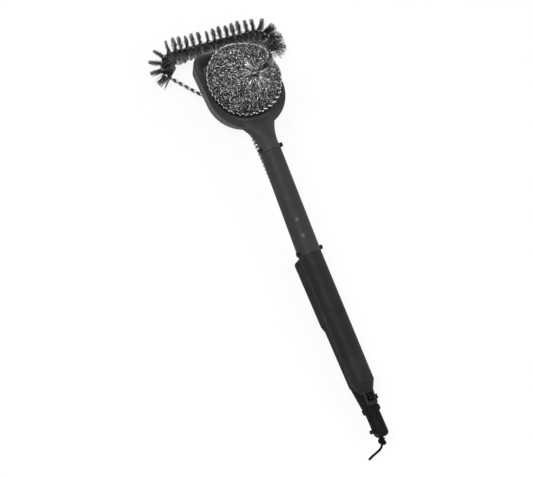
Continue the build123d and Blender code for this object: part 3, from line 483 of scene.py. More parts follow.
@dataclass(frozen=True)
class MouldedFinish:
    """Moulded plastic: a fine grain, faint cloudy variation, rubbed patches, paler edges that are
    partly wear and partly a painted highlight, and painted light in a hollow.
    """

    name: str
    colour: Colour
    rubbed: Colour
    # paler edge colour: partly wear and partly a painted highlight
    worn_and_lit_edge: Colour
    roughness: float = 0.5
    cloud: float = 26 * MM         # size of the rubbed patches
    polish: float = 9 * MM         # size of the patches of uneven polish
    grain: float = 0.45 * MM       # size of the fine grain
    depth: float = 0.02 * MM       # of the grain
    edge: float = 0.5 * MM         # radius to which sharp edges look rounded
    worn_and_lit_reach: float = 0.45 * MM        # how far the paler edge, partly wear and partly a painted highlight, reaches to both sides
    sheen: float = 0.3
    hollow_light: Colour | None = None   # painted light on the surfaces that face the point below
    hollow: Point = (0.0, 0.0, 0.0)

    def material(self) -> bpy.types.Material:
        """Builds the node material.

        Returns:
            The material.
        """
        shading = Shading(self.name)
        place = shading.coordinate("Object")
        rubbing = shading.spread(shading.noise(place, self.cloud, 4.0, 0.6), 0.0, 1.0, 0.35, 0.75)
        body = shading.blend(rubbing, self.colour, self.rubbed)
        # Painted light inside the cup, on the surfaces that face the hollow point.
        if self.hollow_light is not None:
            body = shading.blend(shading.facing(self.hollow), body, self.hollow_light)
        patches = shading.noise(place, self.polish, 5.0, 0.65)
        # The paler edges are partly wear and partly a painted highlight.
        shading.fill(
            shading.surface,
            Base_Color=shading.blend(shading.edges(self.worn_and_lit_reach), body, self.worn_and_lit_edge),
            Roughness=shading.spread(patches, self.roughness - 0.06, self.roughness + 0.08),
            Specular_IOR_Level=self.sheen,
        )
        shading.relief(shading.noise(place, self.grain, 2.0, 0.5), self.depth, 0.6, self.edge)
        return shading.material


@dataclass(frozen=True)
class SteelFinish:
    """Steel with fine drawn scratches, slightly uneven polish and, where it is given, painted shade
    between twisted wires.
    """

    name: str
    colour: Colour
    tarnish: Colour
    roughness: float = 0.32
    stain: float = 6 * MM          # size of the tarnished patches
    scratch: float = 0.25 * MM     # size of the fine scratches
    depth: float = 0.01 * MM       # of the scratches
    crevice_shade: Colour | None = None  # painted shade on the side half-way round each wire's section

    def material(self) -> bpy.types.Material:
        """Builds the node material.

        Returns:
            The material.
        """
        shading = Shading(self.name)
        place = shading.coordinate("Object")
        stain = shading.spread(shading.noise(place, self.stain, 4.0, 0.6), 0.0, 1.0, 0.4, 0.8)
        body = shading.blend(stain, self.colour, self.tarnish)
        # Painted shade on the side of each wire that faces its partner.
        if self.crevice_shade is not None:
            body = shading.blend(self.inner_side(shading), body, self.crevice_shade)
        scratches = shading.noise(place, self.scratch, 3.0, 0.7)
        shading.fill(
            shading.surface,
            Metallic=1.0,
            Base_Color=body,
            Roughness=shading.spread(scratches, self.roughness - 0.08, self.roughness + 0.1),
        )
        shading.relief(scratches, self.depth, 0.5)
        return shading.material

    @staticmethod
    def inner_side(shading: Shading) -> Socket:
        """Share that is one on the side of each wire that faces its partner, where painted shade
        darkens it.

        The second texture coordinate runs from 0 to 1 round a section, and that side is at 0.5.

        Args:
            shading: The material's nodes.

        Returns:
            The share.
        """
        parts = shading.node("ShaderNodeSeparateXYZ", Vector=shading.coordinate("UV"))
        aside = shading.maths("ShaderNodeMath", "SUBTRACT", parts.outputs["Y"], 0.5)
        size = shading.maths("ShaderNodeMath", "ABSOLUTE", aside)
        return shading.spread(size, 1.0, 0.0, 0.17, 0.33)


@dataclass(frozen=True)
class StrandFinish:
    """Thin steel wire or ribbon whose brightness differs from strand to strand: each strand's shade
    value paints glints, and on the pad also shade.
    """

    name: str
    dark: Colour
    bright: Colour
    roughness: float = 0.3
    metallic: float = 1.0
    fleck: float = 0.8 * MM        # size of the duller flecks
    depth: float = 0.02 * MM       # of the flecks

    def material(self) -> bpy.types.Material:
        """Builds the node material, which reads each strand's own shade.

        Returns:
            The material.
        """
        shading = Shading(self.name)
        own = shading.node("ShaderNodeAttribute")
        own.attribute_name = "shade"
        flecks = shading.noise(shading.coordinate("Object"), self.fleck, 2.0, 0.6)
        shading.fill(
            shading.surface,
            Metallic=self.metallic,
            Base_Color=shading.blend(own.outputs["Fac"], self.dark, self.bright),
            Roughness=shading.spread(flecks, self.roughness - 0.1, self.roughness + 0.15),
        )
        shading.relief(flecks, self.depth, 0.4)
        return shading.material


@dataclass(frozen=True)
class BraidFinish:
    """Braided synthetic cord: two sets of crossing strands along its own length."""

    name: str
    colour: Colour
    worn: Colour
    stitch: float = 0.8 * MM       # length of cord to one unit of the weave
    fuzz: float = 0.3 * MM         # size of the paler patches
    depth: float = 0.04 * MM       # of the weave
    roughness: float = 0.85
    sheen: float = 0.08

    def material(self) -> bpy.types.Material:
        """Builds the node material, which follows the cord's texture coordinates.

        Returns:
            The material.
        """
        shading = Shading(self.name)
        turned = shading.node(
            "ShaderNodeMapping", Vector=shading.coordinate("UV"), Scale=(1 / self.stitch, 3.0, 1.0)
        )
        weave = shading.node("ShaderNodeTexChecker", Vector=turned.outputs["Vector"], Scale=2.0)
        fuzz = shading.noise(shading.coordinate("Object"), self.fuzz, 3.0, 0.7)
        shading.fill(
            shading.surface,
            Base_Color=shading.blend(shading.spread(fuzz, 0.0, 1.0), self.colour, self.worn),
            Roughness=self.roughness,
            Specular_IOR_Level=self.sheen,
        )
        shading.relief(weave.outputs["Fac"], self.depth, 0.4)
        return shading.material


# ---------------------------------------------------------------------------------------------
# Studio
# ---------------------------------------------------------------------------------------------


@dataclass
class Studio:
    """White table, white surroundings, soft lamps and the camera."""

    aim: Point = (-0.03934, -0.00713, 0.02989)
    towards_camera: Point = (-0.38299, -0.20419, 0.90090)
    camera_up: Point = (0.28796, 0.90028, 0.32646)
    distance: float = 1.5471
    lens: float = 96.88
    sensor: float = 36.0
    ambient: float = 0.62
    table_share: float = 0.9
    table_half: float = 3.0
    table_level: float = -0.05 * MM
    # name, place in metres, length of the side in metres and power in watts
    lamps: tuple[tuple[str, Point, float, float], ...] = (
        ("key_lamp", (-1.1, 0.3, 1.9), 0.9, 26.0),
        ("fill_lamp", (1.4, -0.6, 1.5), 1.2, 9.0),
    )

    def camera(self) -> None:
        """Stands the camera at its distance from the aim and turns it to the up direction."""
        data = bpy.data.cameras.new("camera")
        data.lens = self.lens
        data.sensor_width = self.sensor
        back = Vector(self.towards_camera).normalized()
        right = Vector(self.camera_up).cross(back).normalized()
        above = back.cross(right)
        seen_from = Vector(self.aim) + back * self.distance
        turn = Matrix((right, above, back)).transposed().to_4x4()
        stand = bpy.data.objects.new("camera", data)
        stand.matrix_world = Matrix.Translation(seen_from) @ turn
        bpy.context.scene.collection.objects.link(stand)
        bpy.context.scene.camera = stand

    @staticmethod
    def white_to_eye(nodes: Nodes, share: float) -> Socket:
        """Share that is there for camera, mirror and glass rays, and nought for the rest.

        Args:
            nodes: The tree that needs it.
            share: Its size for the rays that see it.

        Returns:
            The share.
        """
        rays = nodes.node("ShaderNodeLightPath").outputs
        seen = rays["Is Camera Ray"]
        for ray in ("Is Glossy Ray", "Is Transmission Ray"):
            seen = nodes.maths("ShaderNodeMath", "MAXIMUM", seen, rays[ray])
        return nodes.maths("ShaderNodeMath", "MULTIPLY", seen, share)

    def surroundings(self) -> None:
        """World that looks white and lights the object evenly at the ambient strength."""
        world = bpy.data.worlds.new("surroundings")
        world.use_nodes = True
        bpy.context.scene.world = world
        nodes = Nodes(world.node_tree)
        strength = nodes.node(
            "ShaderNodeMapRange",
            Value=self.white_to_eye(nodes, 1.0), To_Min=self.ambient, To_Max=1.0,
        )
        nodes.fill(
            world.node_tree.nodes["Background"],
            Color=(1, 1, 1, 1), Strength=strength.outputs["Result"],
        )

    def table(self) -> None:
        """Wide white table just under the object, which keeps a faint shadow."""
        corners = self.table_half * np.array([[-1, -1], [1, -1], [1, 1], [-1, 1]])
        points = np.column_stack([corners, np.full(4, self.table_level)])
        top = add_mesh("table", points, [np.array([[0, 1, 2, 3]])])
        shading = Shading("table_white")
        shading.fill(
            shading.surface, Base_Color=(0.9, 0.9, 0.9, 1), Roughness=0.8, Specular_IOR_Level=0.1
        )
        glow = shading.node("ShaderNodeEmission", Strength=1.0)
        mix = shading.node("ShaderNodeMixShader", Fac=self.white_to_eye(shading, self.table_share))
        shading.feed(mix.inputs[1], shading.surface.outputs["BSDF"])
        shading.feed(mix.inputs[2], glow.outputs["Emission"])
        shading.fill(shading.tree.nodes["Material Output"], Surface=mix.outputs["Shader"])
        top.data.materials.append(shading.material)

    @staticmethod
    def lamp(name: str, place: Point, size: float, power: float) -> None:
        """Square soft lamp that faces the middle of the table.

        Args:
            name: The lamp's name.
            place: Where it hangs, in metres.
            size: Length of its side.
            power: Its power in watts.
        """
        data = bpy.data.lights.new(name, "AREA")
        data.shape = "SQUARE"
        data.size = size
        data.energy = power
        stand = bpy.data.objects.new(name, data)
        facing = Vector(place).to_track_quat("Z", "Y").to_matrix().to_4x4()
        stand.matrix_world = Matrix.Translation(Vector(place)) @ facing
        bpy.context.scene.collection.objects.link(stand)

    def build(self) -> None:
        """Sets up the camera first, then the light and the table."""
        bpy.context.scene.view_settings.view_transform = "Standard"
        self.camera()
        self.surroundings()
        self.table()
        for lamp in self.lamps:
            self.lamp(*lamp)


# ---------------------------------------------------------------------------------------------
# Hang cord and knot
# ---------------------------------------------------------------------------------------------


@dataclass
class HangCord:
    """Thin cord folded to a narrow loop, with its ends tied in a knot at the tail's eye."""

    # across, from the tail end towards the head, and height, in millimetres
    route: tuple[Point, ...] = (
        (-1.6, -6.4, 12.6), (-1.9, -9.5, 8.6), (-5.0, -12.1, 4.6), (-10.5, -13.9, 2.0),
        (-14.8, -15.4, 1.1), (-18.0, -16.9, 0.9), (-18.6, -15.6, 0.9), (-15.2, -14.2, 1.1),
        (-10.8, -12.7, 2.0), (-5.65, -11.0, 4.6), (-3.1, -9.0, 8.6), (-2.85, -6.4, 12.6),
    )
    radius: float = 0.72 * MM
    length: float = 49.5 * MM
    sides: int = 10
    lean: Point = (0.05, 0.11, 0.0)  # keeps the sections' own upright off the cord's direction
    knot_strand: float = 1.6 * MM
    knot_points: int = 72
    knot_length: float = 40 * MM
    knot_depth: float = 1.6        # of the trefoil, beside the three that it measures across
    knot_lean: tuple[float, float] = (25.0, 20.0)  # degrees about the first and third axes
    end_points: int = 6
    end_aside: float = 1.2 * MM    # of both ends, from the middle of the knot
    finish: BraidFinish = BraidFinish("black_cord", (0.003, 0.003, 0.0033), (0.009, 0.009, 0.0095))

    def line(self) -> Array:
        """Smooth spline that the route controls.

        Returns:
            Points along it, of shape (n, 3).
        """
        tail_end = corners_of("tail_cap")[0][1]
        curve = bpy.data.curves.new("cord_route", "CURVE")
        curve.dimensions = "3D"
        curve.resolution_u = 12
        spline = curve.splines.new("NURBS")
        spline.points.add(len(self.route) - 1)
        for point, (x, y, z) in zip(spline.points, self.route):
            point.co = (x * MM, tail_end + y * MM, z * MM, 1)
        spline.order_u = 3
        spline.use_endpoint_u = True
        holder = bpy.data.objects.new("cord_route", curve)
        bpy.context.scene.collection.objects.link(holder)
        mesh = bpy.data.meshes.new_from_object(holder)
        points = np.empty(3 * len(mesh.vertices))
        mesh.vertices.foreach_get("co", points)
        bpy.data.objects.remove(holder)
        bpy.data.meshes.remove(mesh)
        return points.reshape(-1, 3)

    def knot_line(self, centre: Array, reach: float) -> Array:
        """Trefoil: x is sin t + 2 sin 2t, y is cos t - 2 cos 2t, z is minus the depth times sin 3t.

        All three are scaled to the reach, and the whole leans.

        Args:
            centre: The knot's centre.
            reach: The knot's radius, over its strand.

        Returns:
            The points, of shape (n, 3).
        """
        t = np.linspace(0, 2 * np.pi, self.knot_points, endpoint=False)
        flat = np.column_stack([
            np.sin(t) + 2 * np.sin(2 * t),
            np.cos(t) - 2 * np.cos(2 * t),
            -self.knot_depth * np.sin(3 * t),
        ])
        scale = (reach - self.knot_strand) / 3.0
        first, third = (math.radians(angle) for angle in self.knot_lean)
        lean = Matrix.Rotation(first, 3, "X") @ Matrix.Rotation(third, 3, "Z")
        return centre + scale * flat @ np.array(lean).T

    def knot(self, centre: Array, reach: float) -> bpy.types.Object:
        """Makes the knot.

        Args:
            centre: Its centre.
            reach: Its radius.

        Returns:
            The piece, without a finish.
        """
        turns = self.knot_line(centre, reach)
        away = unit(turns - centre + 1e-7)
        rod = Strands.along(turns[None], away[None], self.knot_strand, self.sides, True)
        return rod.make("cord_knot", length=self.knot_length)

    def ends(self, centre: Array, mouth: Array, reach: float) -> bpy.types.Object:
        """Makes the two short runs from the knot to the tail's eye.

        Args:
            centre: The knot's centre.
            mouth: The middle of the eye.
            reach: The knot's radius.

        Returns:
            The piece, without a finish.
        """
        share = np.linspace(0, 1, self.end_points)[:, None]
        aside = np.array([[[-self.end_aside, 0.0, 0.0]], [[self.end_aside, 0.0, 0.0]]])
        runs = centre + (mouth - centre) * share + aside
        rods = Strands.along(runs, np.broadcast_to(UP, runs.shape), self.knot_strand, self.sides)
        return rods.make("cord_ends", length=reach)

    def build(self) -> list[bpy.types.Object]:
        """Returns:
            The three pieces.
        """
        finish = self.finish.material()
        line = self.line()
        upright = np.broadcast_to(UP, line.shape)[None] + self.lean
        rod = Strands.along(line[None], upright, self.radius, self.sides)
        cord = rod.make("hang_cord_loop", length=self.length)
        finish_piece(cord, finish, Body.BRUSH, ["hang_cord"])
        low, high = corners_of("hang_knot")
        reach = (high[0] - low[0]) / 2
        centre = np.array([(low[0] + high[0]) / 2, low[1] + reach, (low[2] + high[2]) / 2])
        tied = self.knot(centre, reach)
        finish_piece(tied, finish, Body.BRUSH, ["hang_knot"])
        ends = self.ends(centre, np.array([centre[0], high[1], centre[2]]), reach)
        finish_piece(ends, finish, Body.BRUSH)
        return [cord, tied, ends]


# ---------------------------------------------------------------------------------------------
# Wire brush
# ---------------------------------------------------------------------------------------------


@dataclass
class LoopLine:
    """Centre line of the wire loop, walked clockwise from the apex and measured from the nodes.

    Left side, left corner, far side, right corner, right side. A heading is the angle from the
    head's direction towards the right. On a corner the point is the corner's centre plus the
    corner's radius to the left of the heading.
    """

    level: float = field(init=False)    # height of the loop
    apex: float = field(init=False)     # where the sides leave the stem
    pivot_x: float = field(init=False)  # centre of the right corner's arc
    pivot_y: float = field(init=False)
    corner: float = field(init=False)   # radius of that arc
    lean: float = field(init=False)     # of the sides from the head's direction, in radians
    reach: float = field(init=False)    # radius of the bristles
    core: float = field(init=False)     # radius of the pair of wires

    def __post_init__(self) -> None:
        """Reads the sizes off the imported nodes."""
        bar_low, bar_high = corners_of("bristle_bar")
        core_low, core_high = corners_of("loop_core")
        self.reach = (bar_high[2] - bar_low[2]) / 2
        self.core = (core_high[2] - core_low[2]) / 2
        self.level = (bar_high[2] + bar_low[2]) / 2
        self.pivot_x = bar_high[0]
        self.corner = core_high[0] - self.core - self.pivot_x
        self.pivot_y = (bar_high[1] + bar_low[1]) / 2 - self.corner
        self.apex = corners_of("stem_wire")[1][1]
        rise = self.pivot_y - self.apex
        self.lean = math.atan2(self.pivot_x, rise) + math.asin(
            self.corner / math.hypot(self.pivot_x, rise)
        )

    def lengths(self) -> Array:
        """Lengths of the five stretches.

        Returns:
            The left side, the left corner, the far side, the right corner and the right side.
        """
        side = math.sqrt(self.pivot_x**2 + (self.pivot_y - self.apex) ** 2 - self.corner**2)
        bend = self.corner * (math.pi / 2 + self.lean)
        return np.array([side, bend, 2 * self.pivot_x, bend, side])

    def at(self, distance: Array) -> tuple[Array, Array, Array]:
        """Points, directions and left-hand normals at distances from the apex.

        Args:
            distance: Distances along the loop, of any shape.

        Returns:
            Three arrays with one more axis, of length 3.
        """
        side, bend, bar = self.lengths()[:3]
        past = distance - side
        bar_end = bend + bar
        heading = np.where(
            past < bend, np.clip(past, 0, bend) / self.corner - self.lean,
            np.pi / 2 + np.clip(past - bar_end, 0, bend) / self.corner,
        )
        along = np.stack([np.sin(heading), np.cos(heading), np.zeros_like(heading)], axis=-1)
        left = np.stack([-np.cos(heading), np.sin(heading), np.zeros_like(heading)], axis=-1)
        right_half = past > bend
        pivot = np.stack(
            [
                np.where(right_half, np.clip(past - bend, 0, bar) - self.pivot_x, -self.pivot_x),
                np.full_like(heading, self.pivot_y),
                np.full_like(heading, self.level),
            ],
            axis=-1,
        )
        straight = np.minimum(past, 0) + np.maximum(past - bar_end - bend, 0)
        return pivot + self.corner * left + straight[..., None] * along, along, left


@dataclass
class TwistedWires:
    """Pairs of wires twisted round each other: the stem, the bare sides and the loop's core."""

    line: LoopLine
    stem_pitch: float = 9.3 * MM
    side_pitch: float = 15.0 * MM
    steps: int = 16                # stations to a pitch
    sides: int = 10
    # The wires' crevice colour is painted shade where each wire faces its partner.
    finish: SteelFinish = SteelFinish(
        "drawn_wire", (0.6, 0.6, 0.59), (0.24, 0.235, 0.23), 0.27, crevice_shade=(0.012, 0.012, 0.012)
    )

    def pair(
        self, name: str, centres: Array, normals: Array, distance: Array, envelope: float,
        pitch: float, node: str, finish: bpy.types.Material,
    ) -> bpy.types.Object:
        """Makes two wires that wind round a line, each half the envelope thick.

        A wire's point is the line's point plus half the envelope, turned by the distance over
        the pitch.

        Args:
            name: The piece's name.
            centres: Points of the line, of shape (n, 3).
            normals: In-plane normals of the line.
            distance: Distance of each point along the line.
            envelope: Radius of the pair.
            pitch: Length of one full turn.
            node: The CAD node it stands for.
            finish: Its material.

        Returns:
            The piece.
        """
        turn = (2 * np.pi * distance / pitch)[None] + np.array([[0.0], [np.pi]])
        outward = np.cos(turn)[..., None] * normals + np.sin(turn)[..., None] * UP
        strand = envelope / 2
        rods = Strands.along(centres + strand * outward, outward, strand, self.sides)
        piece = rods.make(name, length=float(distance[-1] - distance[0]))
        return finish_piece(piece, finish, Body.BRUSH, [node])

    def build(self) -> list[bpy.types.Object]:
        """Makes the stem, both bare sides and the core inside the bristles.

        Returns:
            The four pairs.
        """
        finish = self.finish.material()
        low, high = corners_of("stem_wire")
        along = np.arange(low[1], high[1], self.stem_pitch / self.steps)
        level = np.full_like(along, self.line.level)
        centres = np.column_stack([np.zeros_like(along), along, level])
        normals = np.broadcast_to([1.0, 0.0, 0.0], centres.shape)
        pieces = [
            self.pair("stem_pair", centres, normals, along - low[1], high[0], self.stem_pitch,
                      "stem_wire", finish)
        ]
        side, bend, bar = self.line.lengths()[:3]
        total = self.line.lengths().sum()
        core = self.line.core
        stretches = (
            ("left_side_pair", core, side, "side_wire_left"),
            ("loop_core_pair", side, side + 2 * bend + bar, "loop_core"),
            ("right_side_pair", total - side, total - core, "side_wire_right"),
        )
        for name, start, end, node in stretches:
            distance = np.arange(start, end, self.side_pitch / self.steps)
            points, _, left = self.line.at(distance)
            pieces.append(
                self.pair(name, points, left, distance, core, self.side_pitch, node, finish)
            )
        return pieces


@dataclass
class Bristles:
    """Stiff wire bristles caught in the twist, so that they stand in rows that wind round it."""

    line: LoopLine
    pitch: float = 16.6 * MM       # two rows to a pitch
    density: float = 14.0 / MM     # bristles per metre of the core, each standing out both ways
    radius: float = 0.2 * MM
    scatter: float = 0.07          # radians round the core
    sway: float = 0.03             # radians along the core
    bow: float = 0.35 * MM         # sideways, half-way out
    drift: float = 0.42            # radians, the scale of the rows' wander from an even twist
    spread: float = 10.0           # how many times wider still the rows are at both ends
    frayed: float = 12.0 * MM      # length over which they narrow again
    root: float = 0.08             # share of a bristle's reach at which it starts
    shortest: float = 0.93         # share of the full length, drawn for each bristle
    glint: tuple[float, float] = (0.8, 4.4)  # shape of the spread of painted glints, from dark to bright bristles
    stations: int = 5
    finish: StrandFinish = StrandFinish(
        "bristle_steel", (0.065, 0.064, 0.062), (0.5, 0.49, 0.48), 0.42
    )

    @property
    def whole(self) -> float:
        """Distance along the loop at which the bristles stop."""
        return float(self.line.lengths()[:4].sum())

    def unevenness(self, distance: Array) -> tuple[Array, Array]:
        """How far the twist wanders, and how long the bristles are.

        The wander is the drift times a product of two sines plus a third sine. The length is a
        mean length plus two smaller sines.

        Args:
            distance: Distances along the loop.

        Returns:
            Angles in radians, and shares of the full length.
        """
        wander = self.drift * (
            np.sin(distance / (5.1 * MM)) * np.sin(distance / (17.0 * MM))
            + 0.6 * np.sin(distance / (9.7 * MM))
        )
        ripple = 0.05 * np.sin(distance / (4.3 * MM))
        return wander, 0.93 + ripple + 0.03 * np.sin(distance / (11.3 * MM) + 1)

    def tuft(
        self, name: str, start: float, end: float, node: str, loose: float,
        finish: bpy.types.Material, seed: int,
    ) -> bpy.types.Object:
        """Makes the bristles of one stretch.

        A bristle leaves the core at an angle that falls with the distance along it, and bows on
        its way out by 4 s (1 - s), where s is its share of the reach.

        Args:
            name: The piece's name.
            start: Where the stretch begins, along the loop.
            end: Where it ends.
            node: The CAD node it stands for.
            loose: How many times wider than elsewhere the rows are.
            finish: Its material.
            seed: For the scatter.

        Returns:
            The piece.
        """
        rng = np.random.default_rng(seed)
        count = int((end - start) * self.density)
        distance = start + (end - start) * (np.arange(count) + rng.uniform(0, 1, count)) / count
        distance = np.concatenate([distance, distance])
        half = np.repeat([0.0, np.pi], count)
        wander, length = self.unevenness(distance)
        past_end = np.minimum(distance - self.line.lengths()[0], self.whole - distance)
        fray = loose + self.spread * np.exp(-np.maximum(past_end, 0) / self.frayed)
        angle = half - 2 * np.pi * distance / self.pitch + wander
        angle = angle + rng.normal(0, self.scatter, 2 * count) * fray
        centre, along, left = self.line.at(distance)
        lean = rng.normal(0, self.sway, 2 * count)[:, None]
        out = unit(np.cos(angle)[:, None] * left + np.sin(angle)[:, None] * UP + lean * along)
        full = (self.line.reach - self.radius) * length
        reach = full * rng.uniform(self.shortest, 1.0, 2 * count)
        share = np.linspace(self.root, 1.0, self.stations)
        bow = rng.normal(0, self.bow, 2 * count)
        side = unit(np.cross(out, along))
        points = (
            centre[:, None]
            + share[None, :, None] * reach[:, None, None] * out[:, None]
            + (4 * share * (1 - share))[None, :, None] * bow[:, None, None] * side[:, None]
        )
        rods = Strands.along(points, np.broadcast_to(along[:, None], points.shape), self.radius)
        shade = np.broadcast_to(rng.beta(*self.glint, 2 * count)[:, None], points.shape[:2])
        piece = rods.make(name, shade, self.line.reach)
        return finish_piece(piece, finish, Body.BRUSH, [node])

    def build(self) -> list[bpy.types.Object]:
        """Makes the bristles of the far side and of both corners.

        Returns:
            The three tufts.
        """
        finish = self.finish.material()
        side, bend, bar = self.line.lengths()[:3]
        stretches = (
            ("bristles_left_corner", side, side + bend, "bristle_corner_left", 1.0),
            ("bristles_far_side", side + bend, side + bend + bar, "bristle_bar", 1.0),
            ("bristles_right_corner", side + bend + bar, side + 2 * bend + bar,
             "bristle_corner_right", 3.5),
        )
        return [
            self.tuft(name, start, end, node, loose, finish, seed)
            for seed, (name, start, end, node, loose) in enumerate(stretches)
        ]


# ---------------------------------------------------------------------------------------------
# Scouring pad
# ---------------------------------------------------------------------------------------------


@dataclass(frozen=True)
class Layer:
    """One layer of knitted courses."""

    name: str
    pole: Point                    # direction that the courses run round
    lift: float                    # height above the folded surface
    seed: int
    first: float                   # degrees from the pole, to the first and to the last course
    last: float
    stitch: float = 3.7 * MM
    course: float = 3.0 * MM
    light: float = 2.6             # the higher, the fewer bright stitches


@dataclass
class ScouringPad:
    """Ball of knitted steel ribbon, gathered to one point on top, with folds that run out of it.

    The surface is an ellipsoid. Each fold is a groove along a ray from the gather: its depth is
    e to the minus square of the sideways distance from the ray, and fades away from the gather.
    """

    gather: Point = (0.0191, -0.2408, 0.9704)
    samples: int = 10              # points on one stitch
    fewest: int = 6                # stitches in a course
    loop_height: float = 0.85      # of the distance between courses
    overlap: float = 0.14          # how far a loop's head leans over its foot
    wander: float = 0.45           # of a course from its ring, in courses
    looseness: float = 0.35        # how much the loops differ in height
    bob: float = 0.45 * MM         # in and out of the surface
    ribbon: float = 0.35 * MM      # half width
    foil: float = 0.06 * MM        # half thickness
    skin: float = 0.6 * MM         # room for the ribbons above the surface
    fold_sway: float = 0.12        # radians that a fold bends from its ray
    fold_fade: float = 0.6         # the lower, the longer a fold keeps its depth
    fold_shade: float = 0.7        # how much darker the courses are at the bottom of a fold
    deepest: float = 7.0 * MM
    pit: float = 2.2 * MM          # depth of the hole at the gather
    pit_width: float = 0.075       # radians
    lumps: float = 0.35 * MM
    heart_rows: int = 96
    heart_columns: int = 192
    heart_depth: float = 2.6 * MM  # below the folded surface
    strand_points: int = 14
    strand_curl: float = 0.3       # radians that a single ribbon turns aside for each of its run
    strand_shade: float = 0.5      # how much darker it is at the bottom of a fold
    strand_length: float = 8 * MM
    stray_count: int = 1900
    stray_seed: int = 14
    stray_heights: tuple[float, float] = (-0.3, 0.985)  # cosines of the angle from the gather
    stray_runs: tuple[float, float] = (1.0, 3.0)        # mm
    stray_glint: tuple[float, float] = (0.5, 0.8)       # shape of the spread, dark to bright
    stray_lift: float = 0.7 * MM
    gathered_count: int = 130
    gathered_seed: int = 16
    gathered_starts: tuple[float, float] = (3, 14)      # degrees from the gather
    gathered_runs: tuple[float, float] = (7, 26)        # degrees
    gathered_glint: tuple[float, float] = (0.9, 1.7)
    gathered_lift: float = 0.5 * MM
    bundle_width: float = 0.16     # radians
    bundle_bend: float = 0.1       # radians
    hem_pole: Point = (-0.264, -0.140, 0.954)
    hem_angles: tuple[float, ...] = (78.0, 84.0)  # degrees from its pole
    hem_seed: int = 21
    hem_points: int = 7
    hem_pitch: float = 6.3 * MM
    hem_stitch: float = 3.5 * MM
    hem_ribbon: float = 0.7 * MM   # half width
    hem_slant: float = 0.55        # how far a stitch runs across the ring, over its length
    hem_lengths: tuple[float, float] = (0.75, 1.15)  # shortest and longest, over the stitch
    hem_tips: float = 0.35         # width at a stitch's ends, over the width in its middle
    hem_foot: float = 0.1          # mm, height of its ends above the surface
    hem_bulge: float = 0.7         # mm, how much higher its middle is
    hem_astray: tuple[float, float] = (0.006, 0.012)  # radians, across and along the ring
    hem_turn: float = 1.6          # share by which a stitch's face turns towards the pole
    hem_shade: float = 0.75        # how much darker the ribbons beside the hem are
    hem_band: float = 7.5          # degrees
    # azimuth in degrees from the right towards the head, depth and width in mm, reach in degrees
    folds: tuple[tuple[float, float, float, float], ...] = (
        (20, 9.0, 2.4, 120), (52, 1.6, 1.5, 60), (74, 1.2, 1.5, 46), (101, 1.4, 1.6, 50),
        (122, 1.5, 1.3, 60), (140, 2.9, 1.7, 70), (158, 1.8, 1.3, 56), (180, 2.0, 1.5, 56),
        (209, 3.4, 1.9, 66), (237, 2.0, 1.6, 66), (269, 2.8, 1.8, 64), (296, 1.8, 1.4, 52),
        (309, 1.6, 1.2, 56), (323, 2.6, 1.5, 62), (340, 1.6, 1.3, 52), (358, 2.0, 1.5, 56),
    )
    # direction, height in mm and width of the broad swellings and hollows
    swellings: tuple[tuple[Point, float, float], ...] = (
        ((-0.47, 0.873, 0.03), 2.8, 0.38), ((0.875, 0.232, 0.425), -4.6, 0.19),
        ((0.97, -0.05, 0.25), -0.6, 0.4), ((-0.90, 0.34, 0.27), 2.4, 0.42),
        ((0.22, 0.91, 0.34), -1.4, 0.34),
    )
    layers: tuple[Layer, ...] = (
        Layer("pad_courses_inner", (0.9, 0.35, 0.1), -1.3 * MM, 11, 14, 166),
        Layer("pad_courses_lower", (0.2, -0.9, 0.5), -0.8 * MM, 15, 12, 168, 3.8 * MM, 3.1 * MM),
        Layer("pad_courses_middle", (0.07, -0.12, 0.98), -0.4 * MM, 12, 5, 128),
        Layer("pad_courses_outer", (0.0191, -0.2408, 0.9704), 0.0, 13, 5, 128, light=2.9),
    )
    bright: StrandFinish = StrandFinish("pad_ribbon", (0.03, 0.03, 0.031), (0.76, 0.76, 0.75), 0.28)
    # The heart's finish is painted shade: a near-black core under the ribbons.
    heart_shade: StrandFinish = StrandFinish(
        "pad_inside", (0.008, 0.008, 0.008), (0.03, 0.03, 0.03), 0.6, 0.5, 1.2 * MM
    )
    centre: Array = field(init=False)
    radii: Array = field(init=False)

    def __post_init__(self) -> None:
        """Reads the pad's box."""
        low, high = corners_of("scouring_pad")
        self.centre = (low + high) / 2
        self.radii = (high - low) / 2 - self.skin

    @staticmethod
    def axes(pole: Point) -> tuple[Array, Array, Array]:
        """Three unit directions square to each other.

        Args:
            pole: The first one.

        Returns:
            The pole, the direction towards the right and the one square to both.
        """
        straight = unit(np.asarray(pole, dtype=float))
        right = unit(np.array([1.0, 0.0, 0.0]) - straight[0] * straight)
        return straight, right, np.cross(straight, right)

    @staticmethod
    def directions(pole: Point, polar: Array, azimuth: Array) -> Array:
        """Unit directions on a sphere: cosine pole, plus sine towards the azimuth.

        Args:
            pole: The sphere's pole.
            polar: Angles from the pole, in radians.
            azimuth: Angles round it from the right, in radians.

        Returns:
            The directions, with one more axis of length 3.
        """
        straight, right, ahead = ScouringPad.axes(pole)
        return unit(
            np.cos(polar)[..., None] * straight
            + np.sin(polar)[..., None]
            * (np.cos(azimuth)[..., None] * right + np.sin(azimuth)[..., None] * ahead)
        )

